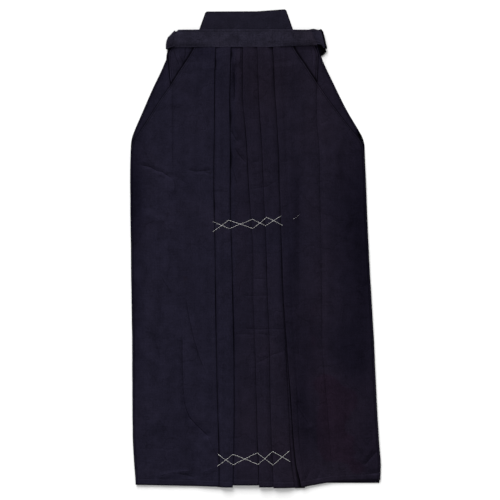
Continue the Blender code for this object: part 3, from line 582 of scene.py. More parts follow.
# %% The shell, with its distances stored as attributes and the weave's own map
ATTRIBUTES = {"fold": FAR, "under": FAR, "side": FAR, "hem": FAR, "tone": 1.0, "warm": 0.0, "press": 0.0}
ATTRIBUTES.update(crease=FAR, sharp=0.0)


def unit(vectors):
    return vectors / np.maximum(np.linalg.norm(vectors, axis=-1, keepdims=True), 1e-12)


def outward(sheet):
    """Each point's direction out of the sheet, lengthened at bends so that the wall keeps its thickness."""
    one_way = sheet[1:, 1:] - sheet[:-1, :-1]
    other_way = sheet[:-1, 1:] - sheet[1:, :-1]
    faces = np.pad(unit(np.cross(one_way, other_way)), ((1, 1), (1, 1), (0, 0)))
    around = np.array([faces[:-1, :-1], faces[:-1, 1:], faces[1:, :-1], faces[1:, 1:]])
    normals = unit(around.sum(axis=0))
    met = np.linalg.norm(around, axis=-1, keepdims=True)
    lean = (around * normals).sum(axis=-1, keepdims=True).sum(axis=0) / met.sum(axis=0)
    return normals / np.maximum(lean, 0.75)


def shell_faces(down, along):
    """Both sides' faces and the rim, for a sheet of so many points down and along."""
    top = np.arange(down * along).reshape(down, along)
    under = top + top.size
    upper = np.stack([top[:-1, :-1], top[:-1, 1:], top[1:, 1:], top[1:, :-1]], axis=-1).reshape(-1, 4)
    lower = np.stack([under[:-1, :-1], under[1:, :-1], under[1:, 1:], under[:-1, 1:]], axis=-1).reshape(-1, 4)
    ring = np.concatenate([top[0], top[1:, -1], top[-1, -2::-1], top[-2:0:-1, 0]])
    after = np.roll(ring, -1)
    rim = np.stack([after, ring, ring + top.size, after + top.size], axis=-1)
    return np.concatenate([upper, lower, rim])


def cloth_shell(name, sheet, thickness, marks):
    """One closed piece. thickness is a number or one for each point, marks the attributes' values."""
    down, along = sheet.shape[:2]
    move = outward(sheet) * np.broadcast_to(thickness, (down, along))[..., None] / 2
    points = np.concatenate([(sheet + move).reshape(-1, 3), (sheet - move).reshape(-1, 3)]) * MM
    mesh = bpy.data.meshes.new(name)
    mesh.from_pydata(points.tolist(), [], shell_faces(down, along).tolist())
    centre_point = points.mean(axis=0)
    mesh.calc_loop_triangles()
    triangles = np.zeros(len(mesh.loop_triangles) * 3, int)
    mesh.loop_triangles.foreach_get("vertices", triangles)
    a, b, c = (points[triangles.reshape(-1, 3)[:, i]] - centre_point for i in range(3))
    if np.einsum("ij,ij->i", a, np.cross(b, c)).sum() < 0:
        mesh.flip_normals()
    for key, usual in ATTRIBUTES.items():
        values = np.broadcast_to(marks.get(key, usual), (down, along))
        store = mesh.attributes.new(key, "FLOAT", "POINT")
        store.data.foreach_set("value", np.tile(values.reshape(-1), 2).astype(np.float32))
    steps = np.linalg.norm(np.diff(sheet, axis=1), axis=-1).mean(axis=0)
    across = np.concatenate([[0.0], np.cumsum(steps)])
    flat = np.stack(np.broadcast_arrays(across[None, :], sheet[..., 1]), axis=-1).reshape(-1, 2) * MM
    loops = np.zeros(len(mesh.loops), int)
    mesh.loops.foreach_get("vertex_index", loops)
    mesh.uv_layers.new(name="grain").data.foreach_set("uv", np.tile(flat, (2, 1))[loops].reshape(-1))
    piece = bpy.data.objects.new(name, mesh)
    bpy.context.scene.collection.objects.link(piece)
    mesh.shade_smooth()
    mesh.set_sharp_from_angle(angle=math.radians(55.0))
    print(name, "has", 2 * len(mesh.polygons), "triangles")
    return piece


# %% The cut of a piece, measured on its sheet
def declare_cut(piece, sheet, rests_on):
    """States the flat size of the cloth that shows: widest row, longest column, and its own area."""
    across = np.linalg.norm(np.diff(sheet, axis=1), axis=-1).sum(axis=1).max() * MM
    along = np.linalg.norm(np.diff(sheet, axis=0), axis=-1).sum(axis=0).max() * MM
    one_way, other_way = sheet[1:, 1:] - sheet[:-1, :-1], sheet[:-1, 1:] - sheet[1:, :-1]
    area = 0.5 * np.linalg.norm(np.cross(one_way, other_way), axis=-1).sum() * MM * MM
    area = min(area, across * along)
    print(piece.name, "was cut", round(across, 3), "by", round(along, 3), "m, area", round(area, 3), "m2")


# %% [markdown]
# ## Finishes
# The cloth is a close, matt cotton. Its colour is nearly black with some violet, because many dips in
# indigo fill the fibre. What makes it read as cloth is small: the threads, thicker slubs now and then,
# lint, folds paler at their edge, partly rubbed and partly a painted highlight, seams that dip where the
# thread pulls, and painted soft shadows under each fold, along the cut edges and in the creases, with a
# painted highlight on each crease's lit side. A finish is written as sums of values, so a class wraps
# each value and adds the nodes.

# %% Values that change over a surface
class Value:
    """One number that changes over the surface, which can be added, multiplied and so on."""

    def __init__(self, finish, socket):
        self.finish, self.socket = finish, socket

    def math(self, operation, first, second=0.0):
        return self.finish.value("Math", {"operation": operation}, {0: first, 1: second})

    def __add__(self, other):
        return self.math("ADD", self, other)

    def __sub__(self, other):
        return self.math("SUBTRACT", self, other)

    def __rsub__(self, other):
        return self.math("SUBTRACT", other, self)

    def __mul__(self, other):
        return self.math("MULTIPLY", self, other)

    __radd__, __rmul__ = __add__, __mul__


class Finish:
    """A material that is built from values."""

    def __init__(self, name, roughness, specular, sheen):
        self.material = bpy.data.materials.new(name)
        self.material.use_nodes = True
        self.tree = self.material.node_tree
        self.shader = self.tree.nodes["Principled BSDF"]
        self.shader.inputs["Roughness"].default_value = roughness
        self.shader.inputs["Specular IOR Level"].default_value = specular
        self.shader.inputs["Sheen Weight"].default_value = sheen
        self.shader.inputs["Sheen Roughness"].default_value = 0.5

    def node(self, kind, settings, sockets):
        made = self.tree.nodes.new("ShaderNode" + kind)
        for name, value in settings.items():
            setattr(made, name, value)
        for key, value in sockets.items():
            self.give(made.inputs[key], value)
        return made

    def give(self, socket, value):
        if isinstance(value, Value):
            self.tree.links.new(value.socket, socket)
        else:
            socket.default_value = value

    def value(self, kind, settings, sockets, out=0):
        return Value(self, self.node(kind, settings, sockets).outputs[out])

    def mark(self, name):
        return self.value("Attribute", {"attribute_name": name}, {}, out="Fac")

    def fade(self, value, near, far):
        """1 up to near, easing to 0 at far."""
        settings = {"interpolation_type": "SMOOTHSTEP"}
        limits = {"From Min": near, "From Max": far, "To Min": 1.0, "To Max": 0.0}
        return self.value("MapRange", settings, {"Value": value, **limits})

    def line(self, value, place, half):
        """1 on a thin line at a distance, and 0 off it."""
        return self.fade(self.value("Math", {"operation": "ABSOLUTE"}, {0: value - place}), 0.2 * half, half)

    def sine(self, value, period):
        return self.value("Math", {"operation": "SINE"}, {0: value * (2.0 * math.pi / period)})

    def noise(self, place, scale, detail=2.0):
        settings = {"noise_dimensions": "3D"}
        return self.value("TexNoise", settings, {"Vector": place, "Scale": scale, "Detail": detail})

    def stretched(self, place, sizes):
        return self.value("Mapping", {"vector_type": "POINT"}, {"Vector": place, "Scale": sizes})

    def mix(self, share, first, second):
        settings = {"data_type": "RGBA"}
        return self.value("Mix", settings, {0: share, 6: first, 7: second}, out=2)

    def scaled(self, colour, amount):
        return self.value("VectorMath", {"operation": "SCALE"}, {0: colour, "Scale": amount})


# %% The indigo cotton
THREAD = 1.3
BUMP_REACH = 0.0004


def cotton(name, dark, pale, warm, seam=7.5, side_seams=(4.8,), rough=1.0):
    """Cloth in one dye that leans from blue through dusty to violet, and is bluer where its tone is darker,
    from the dye and from painted shade. seam is how far stitching stands from a fold, side_seams how far
    from an edge, and rough how uneven the dye is."""
    deep_and_shaded = (0.94 * dark[0], 0.92 * dark[1], 1.12 * dark[2])
    dusty = (1.04 * dark[0], 0.91 * dark[1], 0.83 * dark[2])
    finish = Finish(name, 0.9, 0.01, 0.0)
    place = finish.value("TexCoord", {}, {}, out="Object")
    grain = finish.value("UVMap", {"uv_map": "grain"}, {})
    split = finish.node("SeparateXYZ", {}, {0: grain})
    along_weft, along_warp = (Value(finish, split.outputs[i]) * 1000.0 for i in (0, 1))
    fold, under, side, hem = (finish.mark(key) for key in ("fold", "under", "side", "hem"))

    weave = finish.sine(along_weft, THREAD) * finish.sine(along_warp, THREAD)
    slubs = finish.noise(finish.stretched(grain, (420.0, 60.0, 1.0)), 1.0)
    slubs = slubs + finish.noise(finish.stretched(grain, (50.0, 380.0, 1.0)), 1.0)
    patches = finish.noise(place, 9.0, 3.0)
    mottle = finish.noise(place, 45.0, 5.0)
    speckle = finish.noise(place, 380.0, 1.0)
    streaks = finish.noise(finish.stretched(place, (75.0, 3.5, 1.0)), 1.0, 2.0)
    cells = finish.node("TexVoronoi", {"voronoi_dimensions": "3D"}, {"Vector": place, "Scale": 34.0})
    picked = finish.node("SeparateColor", {}, {0: Value(finish, cells.outputs["Color"])})
    lint = finish.fade(Value(finish, cells.outputs["Distance"]), 0.012, 0.03)
    lint = lint * (1.0 - finish.fade(Value(finish, picked.outputs[0]), 0.80, 0.82))

    # A pale line on each fold's very edge: partly rubbed wear, partly a painted highlight.
    rubbed_and_lit_edges = finish.fade(fold, 0.2, 1.4)
    stitched = finish.line(fold, seam, 0.8)
    hemmed = finish.line(hem, 13.0, 1.0)
    # Painted highlight on the raised strip between a hem or edge seam and the edge.
    raised_highlight = finish.line(hem, 11.0, 1.4)
    for distance in side_seams:
        hemmed = hemmed + 1.4 * finish.line(side, distance, 1.8)
        raised_highlight = raised_highlight + finish.line(side, distance - 1.9, 1.4)
    seams = stitched + hemmed
    # Painted shadow on the cloth beside the fold or edge that lies over it, wider where the fold gapes.
    shade = 0.62 * finish.fade(under, 0.8, 3.0) + 0.12 * finish.fade(under, 1.0, 8.0)
    shade = shade + 0.2 * finish.fade(under, 0.3, 0.9)
    # Painted shade along the cut edges and the hem of each piece, where the cloth turns down at its edge.
    rim = 0.8 * finish.fade(side, 0.8, 2.3)
    rim = rim + 0.5 * finish.fade(hem, 2.0, 4.2) * (1.0 - rim)

    crease, sharp = finish.mark("crease"), finish.mark("sharp")
    # Painted shade on the side of each crease's sharp line that turns from the light, where it is also dented, and a
    # painted highlight on the side that faces it.
    crease_dent_and_shade = sharp * finish.line(crease, 1.0, 1.6)
    glints = sharp * finish.line(crease, -1.1, 1.6)
    swirl = finish.noise(place, 7.0, 2.0) + 0.35 * finish.noise(place, 24.0, 2.0)
    # Thin crinkle lines from a noise, dented and with painted shade in them.
    crinkle_dent_and_shade = finish.line(swirl * 6.0, 4.1, 0.09) * patches
    uneven = 0.40 * patches + 0.34 * streaks + 0.68 * rough * (mottle + speckle)
    # The tone mark holds the dye's uneven tone and the painted shade given to each piece.
    tone = finish.mark("tone") * (0.63 - 0.68 * rough + uneven)
    tone = tone * (1.0 - 0.42 * rough + 0.42 * rough * slubs) + 0.03 * weave
    tone = tone * (1.0 - shade) * (1.0 - rim) * (1.0 - 0.07 * stitched) * (1.0 - 0.3 * hemmed)
    tone = tone * (1.0 - 0.32 * crease_dent_and_shade + 0.15 * glints - 0.18 * crinkle_dent_and_shade + 0.14 * raised_highlight)
    # Painted light and shade from the creases' slopes: lighter where they face the light, darker where they turn away.
    tone = tone + 0.14 * rubbed_and_lit_edges + 1.1 * finish.mark("press")
    violet = finish.mark("warm") + 0.6 * (patches - 0.5)
    colour = finish.mix(2.0 * violet, (*dark, 1.0), (*dusty, 1.0))
    colour = finish.mix(2.0 * violet - 1.0, colour, (*warm, 1.0))
    # Bluer where the tone is darker, which both the dye and the painted shade make it.
    colour = finish.mix(1.0 - finish.mark("tone"), colour, (*deep_and_shaded, 1.0))
    colour = finish.scaled(colour, 1.1 * tone)
    colour = finish.mix(0.35 * lint, colour, (*pale, 1.0))
    finish.give(finish.shader.inputs["Base Color"], colour)
    finish.give(finish.shader.inputs["Roughness"], 0.84 + 0.1 * mottle)
    height = 0.25 * weave + 0.6 * slubs + 0.9 * speckle + 1.4 * mottle - 0.4 * seams
    height = height - 0.8 * hemmed - 1.5 * crease_dent_and_shade - 1.5 * crinkle_dent_and_shade
    bump = finish.value("Bump", {}, {"Strength": 0.7, "Distance": BUMP_REACH, "Height": height})
    finish.give(finish.shader.inputs["Normal"], bump)
    return finish.material


LINT, VIOLET = (0.08, 0.08, 0.10), (0.0103, 0.0063, 0.0121)
PANEL = cotton("panel_cotton", (0.0096, 0.0086, 0.0169), LINT, VIOLET)
BAND = cotton("band_cotton", (0.0137, 0.0125, 0.0213), LINT, VIOLET, 5.0, (5.0,), 1.6)
print("finishes:", PANEL.name, BAND.name)


# %% The white basting thread and the dark sewing thread
def thread_finish(name, colour, turn, roughness):
    """Twisted thread: fine slanting ridges, and a slightly uneven colour."""
    finish = Finish(name, roughness, 0.1, 0.03)
    place = finish.value("TexCoord", {}, {}, out="Object")
    split = finish.node("SeparateXYZ", {}, {0: place})
    slant = Value(finish, split.outputs[0]) + Value(finish, split.outputs[1])
    ply = finish.sine(slant * 1000.0, turn)
    fuzz = finish.noise(place, 900.0)
    finish.give(finish.shader.inputs["Base Color"], finish.scaled((*colour,), 0.82 + 0.1 * ply + 0.16 * fuzz))
    height = ply + 0.5 * fuzz
    bump = finish.value("Bump", {}, {"Strength": 0.6, "Distance": 0.0002, "Height": height})
    finish.give(finish.shader.inputs["Normal"], bump)
    return finish.material


BASTING = thread_finish("basting_thread", (0.94, 0.93, 0.90), 0.9, 0.8)
SEWING = thread_finish("sewing_thread", (0.0112, 0.0097, 0.0205), 0.7, 0.7)

# %% [markdown]
# ## The front panels
# Each row of points becomes a place in space: its height is the ground below it, plus its layer in the
# pleat, plus what looseness, creases and the turned-up hem add. Hidden layers stay flat and tight, and
# only cloth that lies free may swell.


# %% Rows down the panels, and the swelling of loose cloth
def rows_down(top, step):
    """Heights from the top to the hem, closer together over the turned-up hem."""
    ups = list(np.arange(top, HEM + 24.0, -step))
    return ups + [HEM + rest for rest in (20.0, 17.0, 15.0, 14.0, 13.0, 12.0, 11.0, 8.0, 5.0, 2.5, 1.0, 0.3, 0.0)]


LIFT = 1.6
# Darker and lighter patches: the place across and up, the width and height, and how much each adds. Some are the dye's
# uneven tone; others are painted shade where the cloth falls away at its outer edges, over the right side where it
# turns from the light, in the deep trough low on the left, in the middle crease at the top and under the band's left
# end.
TONE_AND_SHADE_PATCHES = (
    (-276.0, 60.0, 28.0, 330.0, -0.42),
    (-196.0, 20.0, 40.0, 300.0, 0.08),
    (-112.0, 100.0, 22.0, 300.0, 0.05),
    (-70.0, 0.0, 14.0, 460.0, 0.06),
    (28.0, 20.0, 16.0, 120.0, -0.06),
    (72.0, -90.0, 12.0, 160.0, -0.10),
    (88.0, 110.0, 14.0, 60.0, -0.14),
    (-262.0, 130.0, 22.0, 80.0, -0.14),
    (-181.0, 110.0, 9.0, 16.0, -0.16),
    (-112.0, 421.0, 26.0, 10.0, -0.18),
    (-155.0, -326.0, 6.0, 14.0, -0.18),
    (-147.0, -358.0, 7.0, 14.0, -0.26),
    (-130.0, -381.0, 9.0, 8.0, -0.28),
    (-110.0, -400.0, 10.0, 8.0, -0.22),
    (244.0, 90.0, 50.0, 230.0, -0.40),
    (250.0, -170.0, 84.0, 210.0, -0.20),
    (-116.0, 428.0, 22.0, 13.0, -0.16),
    (262.0, -430.0, 30.0, 120.0, -0.16),
    (196.0, -216.0, 44.0, 56.0, -0.26),
    (224.0, -262.0, 30.0, 40.0, -0.14),
    (190.0, 40.0, 60.0, 170.0, -0.20),
    (148.0, 60.0, 12.0, 240.0, 0.08),
    (84.0, -30.0, 16.0, 40.0, -0.14),
    (98.0, -310.0, 18.0, 80.0, -0.24),
    (116.0, -370.0, 22.0, 70.0, -0.14),
    (112.0, -196.0, 24.0, 90.0, -0.20),
    (84.0, -470.0, 8.0, 40.0, 0.20),
    (72.0, -380.0, 5.0, 70.0, 0.12),
    (76.0, -60.0, 22.0, 300.0, -0.14),
    (118.0, -420.0, 34.0, 80.0, -0.12),
    (230.0, -440.0, 30.0, 60.0, -0.12),
    (-10.0, 0.0, 90.0, 420.0, -0.08),
    (-30.0, 300.0, 22.0, 110.0, -0.06),
    (-46.0, 364.0, 4.0, 26.0, -0.25),
)
WARM_PATCHES = (
    (152.0, -292.0, 26.0, 26.0, 1.0),
    (196.0, -326.0, 24.0, 26.0, 1.0),
    (172.0, -350.0, 30.0, 40.0, 1.0),
    (150.0, -400.0, 22.0, 60.0, 1.0),
    (190.0, -430.0, 30.0, 34.0, 1.0),
    (222.0, -474.0, 22.0, 18.0, 0.7),
    (122.0, -175.0, 20.0, 80.0, 0.5),
    (-153.0, -67.0, 18.0, 22.0, 0.5),
    (-228.0, 278.0, 14.0, 22.0, 0.45),
)


def warmth(across, up):
    """How far the dye leans to violet: more from the middle towards the right, and in a few patches with
    clear edges, where it has worn off."""
    lean = np.interp(across, (-100.0, -48.0, -40.0, 60.0, 130.0), (0.0, 0.05, 0.3, 0.36, 0.36))
    worn = sum(a * patch(across, up, *spot) for *spot, a in WARM_PATCHES)
    worn = smooth((worn + 0.16 * wave(across / 9.0) * wave(up / 12.0) - 0.40) / 0.22)
    lean = lean * (1.0 - 0.6 * patch(across, up, 40.0, 10.0, 80.0, 180.0))
    lean = lean + 0.2 * patch(across, up, 0.0, 360.0, 50.0, 60.0)
    lean = lean + 0.26 * patch(across, up, 190.0, -400.0, 110.0, 130.0)
    lean = lean + 0.16 * patch(across, up, 112.0, -190.0, 40.0, 110.0)
    return np.clip(lean + 0.5 * worn, 0.0, 1.0)


def patch(across, up, middle, height, wide, tall):
    return np.exp(-(((across - middle) / wide) ** 2) - (((up - height) / tall) ** 2))


def front_sheet(row_of, top):
    """The sheet of one front panel, and the marks that its finish reads."""
    ups = rows_down(top, 3.6)
    data = dict(zip(MARKS, np.moveaxis(np.array([row_of(up) for up in ups]), -1, 0)))
    up = np.array(ups)[:, None] + np.zeros_like(data["across"])
    share = np.maximum(HEM_ZONE - up, 0.0) / (HEM_ZONE - HEM)
    place_up = np.where(up < HEM_ZONE, HEM_ZONE + share * (data["hem"] - HEM_ZONE), up)
    to_hem = place_up - data["hem"]
    across = data["across"] + 0.25 * wave(place_up / 37.0 + data["rise"])
    free = data["loose"] * fade(place_up, 415.0, 434.0)
    creases, crease_line, sharp = crease_heights(CREASES, across, place_up)
    swell = 0.5 * wave(across / 31.0 + wave(place_up / 70.0)) * wave(place_up / 58.0 + 2.0)
    lifted = 0.9 * (0.5 + 0.5 * wave(place_up / 60.0 + data["rise"] * 3.0)) * fade(data["fold"], 2.0, 16.0)
    crumple = 0.22 * wave(across / 4.6 + 2.0 * wave(place_up / 23.0))
    crumple = crumple * wave(place_up / 5.3 + 1.5 * wave(across / 19.0))
    extra = np.maximum(free * (LIFT + 1.5 * creases + swell + crumple + lifted), 0.0)
    turned = 0.35 * fade(to_hem, 11.5, 14.0) + 0.25 * fade(data["side"], 8.0, 11.0)
    height = front_base(data["anchor"], up) + LEAF / 2 + data["rise"] + extra + turned * (data["loose"] > 0)
    tone = 1.0 + sum(a * patch(across, place_up, *spot) for *spot, a in TONE_AND_SHADE_PATCHES)
    marks = {key: data[key] for key in ("fold", "under", "side")}
    marks.update(hem=to_hem, tone=tone, warm=warmth(across, place_up), press=lit_slope(CREASES, across, place_up))
    marks.update(crease=crease_line, sharp=sharp * (data["loose"] > 0))
    thickness = LEAF + 0.4 * fade(to_hem, 11.0, 14.0) * (data["loose"] > 0)
    return np.stack([across, place_up, height], axis=-1), thickness, marks


# %% The two front panels
def dress(piece, finish, slot, *nodes):
    """Gives a piece its finish, and hides the solid that it stands for."""
    piece.data.materials.append(finish)
    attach(piece, "root")
    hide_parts(*nodes)


left_sheet, left_thickness, left_marks = front_sheet(left_front_row, 466.0)
left_panel = cloth_shell("left_front_panel", left_sheet, left_thickness, left_marks)
dress(left_panel, PANEL, "panel_cotton", "front_left")
right_sheet, right_thickness, right_marks = front_sheet(right_front_row, 466.0)
right_panel = cloth_shell("right_front_panel", right_sheet, right_thickness, right_marks)
dress(right_panel, PANEL, "panel_cotton", "front_right")

# %% [markdown]
# ## The back panels, the side tucks and the gussets
# Behind, each leg is one wide panel with a deep pleat at the middle. Little of it shows in front: a
# narrow slope beside each slit. The tucks are what closes the slit's upper end, and the gussets join the
# legs inside. They are plainer, but they get the same cloth, a few creases and a hem.


# %% The back panels
def back_row(up, side):
    """From the side seam to the centre seam, with one deep pleat towards the centre."""
    towards = 1.0 if side == "left" else -1.0
    edge, middle = line(BACK, "side_" + side, up), float(centre(up))
    fold = middle - towards * 12.0
    inner = fold - towards * BACK_DEPTH
    row = Row()
    for across in even(edge, inner - towards * 2.0, 34):
        row.add(across, 0.0, HEM_BACK, side=abs(across - edge), loose=1.0)
    for across in even(inner + towards * 3.0, fold_middle(fold, towards), 9):
        row.add(across, 0.0, HEM_BACK, fold=abs(fold - across), loose=0.3)
    row.turn(fold, towards, 0, 1, HEM_BACK)
    for part in (0.0, 0.5, 1.0):
        row.add(fold_middle(fold, towards) * (1 - part) + fold_middle(inner, -towards) * part, 1.0, HEM_BACK)
    row.turn(inner, -towards, 1, 2, HEM_BACK, seen=False)
    for across in even(fold_middle(inner, -towards), middle - towards * GAP / 2, 8):
        row.add(across, 2.0, HEM_BACK)
    return row.points if side == "left" else row.points[::-1]


def back_sheet(side):
    ups = rows_down(446.0, 8.0)
    data = dict(zip(MARKS, np.moveaxis(np.array([back_row(up, side) for up in ups]), -1, 0)))
    up = np.array(ups)[:, None] + np.zeros_like(data["across"])
    share = np.maximum(HEM_ZONE - up, 0.0) / (HEM_ZONE - HEM)
    place_up = np.where(up < HEM_ZONE, HEM_ZONE + share * (data["hem"] - HEM_ZONE), up)
    inside = plateau(data["across"], BOARD_BASE[0] + 18.0, BOARD_BASE[1] - 18.0, 6.0)
    place_up = np.where(place_up > 420.0, 420.0 + (place_up - 420.0) * (26.0 - 11.6 * inside) / 26.0, place_up)
    creases, crease_line, sharp = crease_heights(BACK_CREASES, data["across"], place_up)
    swell = 0.2 + 0.2 * wave(data["across"] / 36.0) * wave(place_up / 64.0)
    extra = np.maximum(data["loose"] * (creases + swell), 0.0) * fade(place_up, 380.0, 410.0)
    height = ground(data["anchor"], up, 8.0) + CLOTH / 2 + data["rise"] + extra
    # Painted shade: the back panel darker beside its side edge along the slit, and nearly black in a patch at the foot
    # of the right slit. Its under mark gives the painted shadow that the tuck's edge casts on it.
    tone = 0.92 - 0.2 * fade(data["side"], 0.0, 14.0) * plateau(place_up, 200.0, 440.0, 20.0)
    if side == "right":
        tone = tone - 0.9 * patch(data["across"], place_up, 226.0, 246.0, 10.0, 17.0)
    tuck_edge, towards = line(TUCK, "outer_" + side, place_up), 1.0 if side == "left" else -1.0
    opened = 1.0 if side == "left" else 0.5
    beyond = (tuck_edge - data["across"]) * towards / opened
    under = np.where((place_up > 346.0) & (beyond > -12.0), beyond, FAR)
    marks = {"fold": data["fold"], "side": data["side"], "hem": place_up - HEM_BACK, "tone": tone, "under": under}
    marks["warm"] = 0.3 if side == "right" else 0.0
    marks.update(press=lit_slope(BACK_CREASES, data["across"], place_up), crease=crease_line, sharp=sharp)
    return np.stack([data["across"], place_up, height], axis=-1), marks


back_sheets = {}
for side in ("left", "right"):
    back_sheets[side], back_marks = back_sheet(side)
    back_panel = cloth_shell(side + "_back_panel", back_sheets[side], 0.9, back_marks)
    dress(back_panel, PANEL, "panel_cotton", "back_" + side)


# %% The side tucks
TUCK_CREASES = (
    ("left_fan", ((-176, 428), (-171, 412), (-164, 394)), 3, -0.9, 0.0),
    ("left_short", ((-151, 436), (-151, 418), (-154, 408)), 3, -0.9, 0.0),
    ("left_puff", ((-167, 418), (-161, 408), (-158, 400)), 5, 1.0, 0.0),
    ("left_edge", ((-186, 414), (-186, 382), (-184, 356)), 3, -1.2, 0.0),
    ("right_edge", ((133, 418), (134, 400), (133, 372), (131, 352)), 4, -0.9, 0.0),
    ("right_fan", ((120, 432), (124, 412), (122, 394)), 4, -0.6, 0.0),
)


TUCK_ROWS, TUCK_COLUMNS = 42, 28


def tuck_sheet(side):
    rows = []
    for up in even(448.0, 322.0, TUCK_ROWS):
        outer, inner = line(TUCK, "outer_" + side, up), line(TUCK, "inner_" + side, up)
        across = np.array(even(float(outer), float(inner), TUCK_COLUMNS))
        band = plateau(up, 437.0, 900.0, 6.0) * LAYER
        height = back_top(across, up) + GAP + 0.1 + band + CLOTH / 2
        height = height + 0.5 * fade(np.abs(across - outer), 0.0, 14.0) * fade(up, 415.0, 430.0)
        rows.append(np.stack([across, np.full(TUCK_COLUMNS, up), height], axis=-1))
    sheet = np.array(rows if side == "left" else [row[::-1] for row in rows])
    outer = line(TUCK, "outer_" + side, sheet[..., 1])
    slope = line(FRONT, "side_" + side, sheet[..., 1])
    # Painted shade along the tuck's outer edge, and the painted shadow that the front panel's slit edge casts on it.
    marks = {"side": 1.2 + np.abs(sheet[..., 0] - outer), "under": np.abs(sheet[..., 0] - slope) / 1.8}
    _, marks["crease"], marks["sharp"] = crease_heights(TUCK_CREASES, sheet[..., 0], sheet[..., 1])
    marks["press"] = 0.6 * lit_slope(TUCK_CREASES, sheet[..., 0], sheet[..., 1])
    marks["warm"] = 0.36 if side == "right" else 0.0
    return sheet, marks


tuck_sheets = {}
for side in ("left", "right"):
    tuck_sheets[side], tuck_marks = tuck_sheet(side)
    tuck = cloth_shell(side + "_side_tuck", tuck_sheets[side], 0.9, tuck_marks)
    dress(tuck, PANEL, "panel_cotton", "side_tuck_" + side)


# %% The gussets between the legs
def gusset_sheet(side):
    towards = -1.0 if side == "left" else 1.0
    rows = []
    for up in even(-38.0, -504.0, 40):
        middle = float(centre(up))
        far = middle + towards * float(np.interp(up, (-504.0, -38.0), (52.0, 12.0)))
        across = even(middle + towards * 3.0, far, 9)
        height = CLOTH / 2 + GAP + 2 * LAYER + CLOTH
        row = [(place, up, height) for place in across]
        rows.append(row if side == "right" else row[::-1])
    return np.array(rows)


gusset_sheets = {side: gusset_sheet(side) for side in ("left", "right")}
for side, sheet in gusset_sheets.items():
    gusset = cloth_shell(side + "_gusset", sheet, 0.9, {"tone": 0.95, "hem": sheet[..., 1] + 504.0})
    dress(gusset, PANEL, "panel_cotton", "gusset_" + side)

# %% [markdown]
# ## The front band
# The band holds the pleats' upper ends between its two walls. It is one strip of cloth folded over the
# top edge, and after years of wear the edges of the pleats show through it as soft upright ridges. Its
# ends are cut on a slant where the ties begin.

# %% The band over the pleats
BAND_LEFT_SLANT, BAND_RIGHT_SLANT = (-168.0, -184.0), (117.0, 134.0)
BAND_LEVELS = ((-200.0, 0.0), (-150.0, 0.3), (-128.0, 2.0), (24.0, 2.0), (31.0, 4.0), (54.0, 4.0), (66.0, 2.2))
BAND_LEVELS += ((84.0, 0.8), (134.0, 0.0))
BAND_IMPRINTS = ((-79.7, 0.5), (-40.9, 0.4), (-2.2, 0.45), (34.5, 0.55), (79.7, 0.4))


def band_bottom(across):
    return float(np.interp(across, (-194.0, 34.0, 132.0), (BAND_BOTTOM, BAND_BOTTOM, 439.5)))


def band_place(across, up):
    """The place across at a height: columns near the two ends lean with the slanted cuts."""
    share = (up - BAND_BOTTOM) / (BAND_TOP - BAND_BOTTOM)
    for end, (top, bottom) in ((-176.0, BAND_LEFT_SLANT), (125.0, BAND_RIGHT_SLANT)):
        lean = bottom + (top - bottom) * share - end
        across = across + lean * max(0.0, 1.0 - abs(across - end) / 24.0)
    return across


def band_front(across, up):
    level = float(np.interp(across, *zip(*BAND_LEVELS)))
    risen = float(smooth((up - BAND_BOTTOM) / 12.0))
    return float(front_base(across, up)) + LEAF + level * PRESSED + 0.24 + 0.56 * risen


def band_back(across, up):
    return float(back_top(across, up)) + GAP + 0.1 + CLOTH / 2


def band_sheet():
    columns = []
    for across in even(-176.0, 125.0, 87):
        front, back = band_front(across, 460.0), band_back(across, 460.0)
        radius = (front - back) / 2
        turn_up = BAND_TOP - radius - CLOTH / 2
        imprint = sum(h * math.exp(-(((across - place) / 2.6) ** 2)) for place, h in BAND_IMPRINTS)
        column = []
        for up in even(band_bottom(across), turn_up, 14):
            puff = 0.5 * math.sin(math.pi * (up - BAND_BOTTOM) / (turn_up - BAND_BOTTOM))
            puff += 0.15 * float(wave(across / 19.0))
            slanted = 0.5 * math.exp(-(((across - 118.0 - 0.55 * (467.6 - up)) / 4.0) ** 2))
            place = band_place(across, up)
            column.append((place, up, band_front(place, min(up, 460.0)) + puff + imprint + slanted))
        top = band_place(across, BAND_TOP)
        for step in range(1, 10):
            angle = math.pi * (0.5 - step / 10)
            reach = turn_up + radius * math.cos(angle)
            column.append((top, reach, (front + back) / 2 + (front - back) / 2 * math.sin(angle)))
        for up in even(turn_up, 443.0, 6):
            place = band_place(across, up)
            column.append((place, up, band_back(place, up)))
        columns.append(column)
    return np.array(columns).transpose(1, 0, 2)


band_cloth = band_sheet()
bottom_of = np.array([band_bottom(across) for across in band_cloth[0, :, 0]])
from_bottom = np.abs(band_cloth[..., 1] - bottom_of)
from_imprint = band_cloth[..., 0, None] - np.array([place for place, _ in BAND_IMPRINTS])
nearest = np.take_along_axis(from_imprint, np.abs(from_imprint).argmin(axis=-1)[..., None], axis=-1)[..., 0]
# The band's lower edge gets a pale line, partly wear and partly a painted highlight; its top, where it turns over,
# painted shade; and each imprint a sharp line painted dark on one side and lit on the other.
band_marks = {"fold": from_bottom, "side": BAND_TOP - band_cloth[..., 1] + 1.0, "crease": nearest}
band_marks["sharp"] = 0.5 * fade(np.abs(nearest), 5.0, 12.0)
band_marks["warm"] = np.interp(band_cloth[..., 0], (0.0, 70.0, 150.0), (0.0, 0.12, 0.36))
band_thickness = 0.3 + 0.6 * smooth(from_bottom / 10.0)
band = cloth_shell("front_band_cloth", band_cloth, band_thickness, band_marks)
dress(band, BAND, "band_cotton", "front_band")

